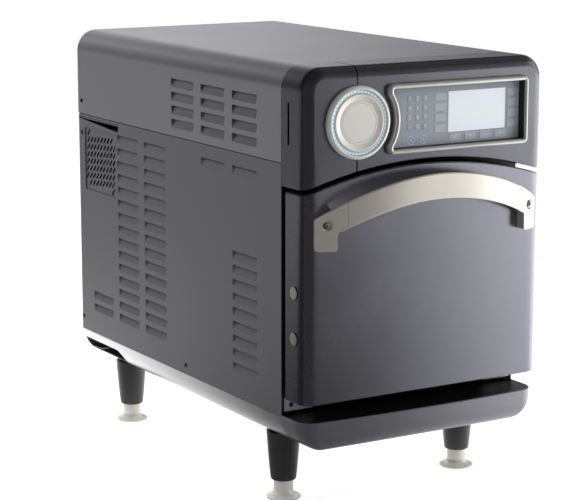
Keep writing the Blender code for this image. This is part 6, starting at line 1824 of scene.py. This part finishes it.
@dataclass
class Inside:
    """The works behind the panels: CAD nodes in the finish of the real part."""

    shop: Workshop

    def make(self) -> None:
        """Dress every inner node."""
        self.shop.dress(CHAMBER_STEEL, "cook_chamber", "oven_rack", "upper_jetplate", "lower_jetplate")
        self.shop.dress(FIBRE, "insulation")
        self.shop.dress(ZINC, "blower_housing", "top_blower_wheel", "bottom_blower_wheel", "component_shelf",
                        "stirrer")
        self.shop.dress(MOTOR_PAINT, "top_blower_motor", "bottom_blower_motor")
        self.shop.dress(CAST_ALUMINIUM, "waveguide", "magnetron", "capacitor")
        self.shop.dress(LACQUERED_COIL, "transformer")
        self.shop.dress(BLACK_PLASTIC, "cooling_fan_frame", "cooling_fan_rotor")
        self.shop.dress(BOARD_RESIST, "control_board")


# The studio


@dataclass
class Studio:
    """A white sweep, three soft lamps and the camera, in a room that is dim behind the camera and overhead."""

    camera_place: Triple = (-1.621, -2.657, 0.922)
    yaw: float = -0.5394
    pitch: float = math.radians(11.0)
    focal_pixels: float = 2039.0
    image_width: float = 567.0
    sensor: float = 36.0
    floor_size: float = 30.0
    floor_glow: float = 0.62
    world_level: float = 0.45
    bright_side: Triple = (0.83, 0.556, 0.0)
    dim_level: float = 0.05
    floor_level: float = 2.4
    wall_level: float = 1.05
    floor_span: Pair = (-0.365, 0.38)
    wall_span: Pair = (0.08, 0.34)
    flag_span: Pair = (0.862, 0.952)
    flag_level: float = 0.14
    rear_span: Pair = (0.6, 1.9)
    rear_level: float = 0.55
    ceiling_span: Pair = (0.38, 0.54)
    ceiling_level: float = 0.10

    def make(self) -> None:
        """Set up floor, world, lamps, camera and the view transform."""
        self.make_floor()
        self.make_world()
        for name, place, goal, size, power in (
            ("panel_right", (2.5, -1.8, 1.2), (0.10, -0.20, 0.30), (3.0, 2.4), 55.0),
            ("panel_rear_left", (-1.0, 1.3, 1.8), (-0.1, 0.2, 0.55), (1.4, 1.4), 32.0),
            ("panel_left", (-2.6, 0.6, 1.2), (-0.2, 0.0, 0.35), (1.6, 1.6), 12.0),
        ):
            data = bpy.data.lights.new(name, "AREA")
            data.shape, data.energy = "RECTANGLE", power
            data.size, data.size_y = size
            lamp = show(bpy.data.objects.new(name, data))
            lamp.visible_glossy = False
            self.aim(lamp, place, Vector(goal) - Vector(place))
        self.make_camera()
        bpy.context.scene.view_settings.view_transform = "Standard"

    def aim(self, thing: Piece, place: Triple, way: Vector) -> None:
        """Put a lamp or the camera in its place and let it look that way."""
        thing.location = place
        thing.rotation_euler = way.to_track_quat("-Z", "Y").to_euler()

    def side_level(self, tree: Tree, place: Socket, spans: list[tuple[Pair, Pair]]) -> list[Socket]:
        """How bright the room is there: each level runs softly over a span towards the bright side.

        Args:
            tree: The node tree.
            place: A point of the floor in metres, or a direction.
            spans: Where each level starts and ends to change, and the levels at both ends.

        Returns:
            The levels.
        """
        inputs = {0: place, 1: self.bright_side}
        reach = add_node(tree, "VectorMath", inputs, operation="DOT_PRODUCT").outputs["Value"]
        found = []
        for (start, end), (low, high) in spans:
            inputs = {"Value": reach, "From Min": start, "From Max": end, "To Min": low, "To Max": high}
            found.append(add_node(tree, "MapRange", inputs, interpolation_type="SMOOTHSTEP").outputs["Result"])
        return found

    def seen(self, tree: Tree, rays: bpy.types.bpy_prop_collection) -> Socket:
        """Whether the camera sees a surface, straight or through glass."""
        inputs = {0: rays["Is Camera Ray"], 1: rays["Is Transmission Ray"]}
        return add_node(tree, "Math", inputs, operation="MAXIMUM").outputs[0]

    def make_floor(self) -> None:
        """Lay a wide white floor that keeps the oven's shadow, and shows the room's levels in reflections.

        Mirrored, it is the room's level at its sides, and runs out to one level far behind the oven.
        """
        mesh = bpy.data.meshes.new("floor")
        size, under = self.floor_size, -0.0003
        corners = [(x * size, y * size, under) for x, y in ((-1, -1), (1, -1), (1, 1), (-1, 1))]
        mesh.from_pydata(corners, [], [(0, 1, 2, 3)])
        floor = show(bpy.data.objects.new("floor", mesh))
        material = bpy.data.materials.new("studio_paper_white")
        material.use_nodes = True
        tree = material.node_tree
        rays = add_node(tree, "LightPath").outputs
        glow = add_node(tree, "Math", {0: self.seen(tree, rays), 1: self.floor_glow}, operation="MULTIPLY")
        paper = {"Base Color": linear("#f4f4f4"), "Roughness": 0.9, "Emission Color": linear("#ffffff"),
                 "Emission Strength": glow.outputs[0]}
        shader = feed(tree, tree.nodes["Principled BSDF"], paper)
        place = add_node(tree, "TexCoord").outputs["Object"]
        sides = self.side_level(tree, place, [(self.floor_span, (self.dim_level, self.floor_level))])[0]
        depth = add_node(tree, "SeparateXYZ", {0: place}).outputs["Y"]
        inputs = {"Value": depth, "From Min": self.rear_span[0], "From Max": self.rear_span[1]}
        rear = add_node(tree, "MapRange", inputs, interpolation_type="SMOOTHSTEP").outputs["Result"]
        inputs = {"Factor": rear, "A": sides, "B": self.rear_level}
        level = add_node(tree, "Mix", inputs, data_type="FLOAT").outputs[0]
        room = add_node(tree, "Emission", {"Color": linear("#ffffff"), "Strength": level})
        inputs = {0: rays["Is Glossy Ray"], 1: shader.outputs[0], 2: room.outputs[0]}
        both = add_node(tree, "MixShader", inputs).outputs[0]
        feed(tree, tree.nodes["Material Output"], {"Surface": both})
        mesh.materials.append(material)

    def make_world(self) -> None:
        """A white backdrop where it is seen, the room's levels where it is mirrored, and a plain grey elsewhere.

        The room's level is that of its walls, dimmed by a flag in the brightest direction and by the ceiling.
        """
        world = bpy.data.worlds.new("studio")
        bpy.context.scene.world = world
        world.use_nodes = True
        tree = world.node_tree
        way = add_node(tree, "TexCoord").outputs["Generated"]
        height = add_node(tree, "SeparateXYZ", {0: way}).outputs["Z"]
        inputs = {"Value": height, "From Min": self.ceiling_span[0], "From Max": self.ceiling_span[1],
                  "To Min": 1.0, "To Max": self.ceiling_level}
        room = add_node(tree, "MapRange", inputs, interpolation_type="SMOOTHSTEP").outputs["Result"]
        spans = [(self.wall_span, (self.dim_level, self.wall_level)), (self.flag_span, (1.0, self.flag_level))]
        for level in self.side_level(tree, way, spans):
            room = add_node(tree, "Math", {0: room, 1: level}, operation="MULTIPLY").outputs[0]
        rays = add_node(tree, "LightPath").outputs
        strength = self.world_level
        for ray, level in ((rays["Is Glossy Ray"], room), (self.seen(tree, rays), 1.0)):
            inputs = {"Factor": ray, "A": strength, "B": level}
            strength = add_node(tree, "Mix", inputs, data_type="FLOAT").outputs[0]
        feed(tree, tree.nodes["Background"], {"Color": linear("#ffffff"), "Strength": strength})

    def make_camera(self) -> None:
        """Place the camera at the photograph's angle: lens = focal pixels / image width * sensor width."""
        data = bpy.data.cameras.new("camera")
        data.sensor_fit, data.sensor_width = "HORIZONTAL", self.sensor
        data.lens = self.focal_pixels / self.image_width * self.sensor
        data.clip_start, data.clip_end = 0.05, 100.0
        camera = show(bpy.data.objects.new("camera", data))
        level = math.cos(self.pitch)
        ahead = Vector((-math.sin(self.yaw) * level, math.cos(self.yaw) * level, -math.sin(self.pitch)))
        self.aim(camera, self.camera_place, ahead)
        bpy.context.scene.camera = camera


def main(frame: dict) -> None:
    logging.basicConfig(level=logging.INFO, format="%(name)s %(message)s")
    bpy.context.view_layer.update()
    groups = frame["record"]["behaviour"]["bodies"]
    bodies = {node: body for body, members in groups.items() for node in members}
    shop = Workshop(bodies, frame["nodes"])
    for group in (Casing(shop), Legs(shop), Fascia(shop), Badge(shop), Controls(shop), Door(shop), Handle(shop),
                  Tray(shop), Inside(shop)):
        group.make()
    Studio().make()


if __name__ == "__main__":
    main(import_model())
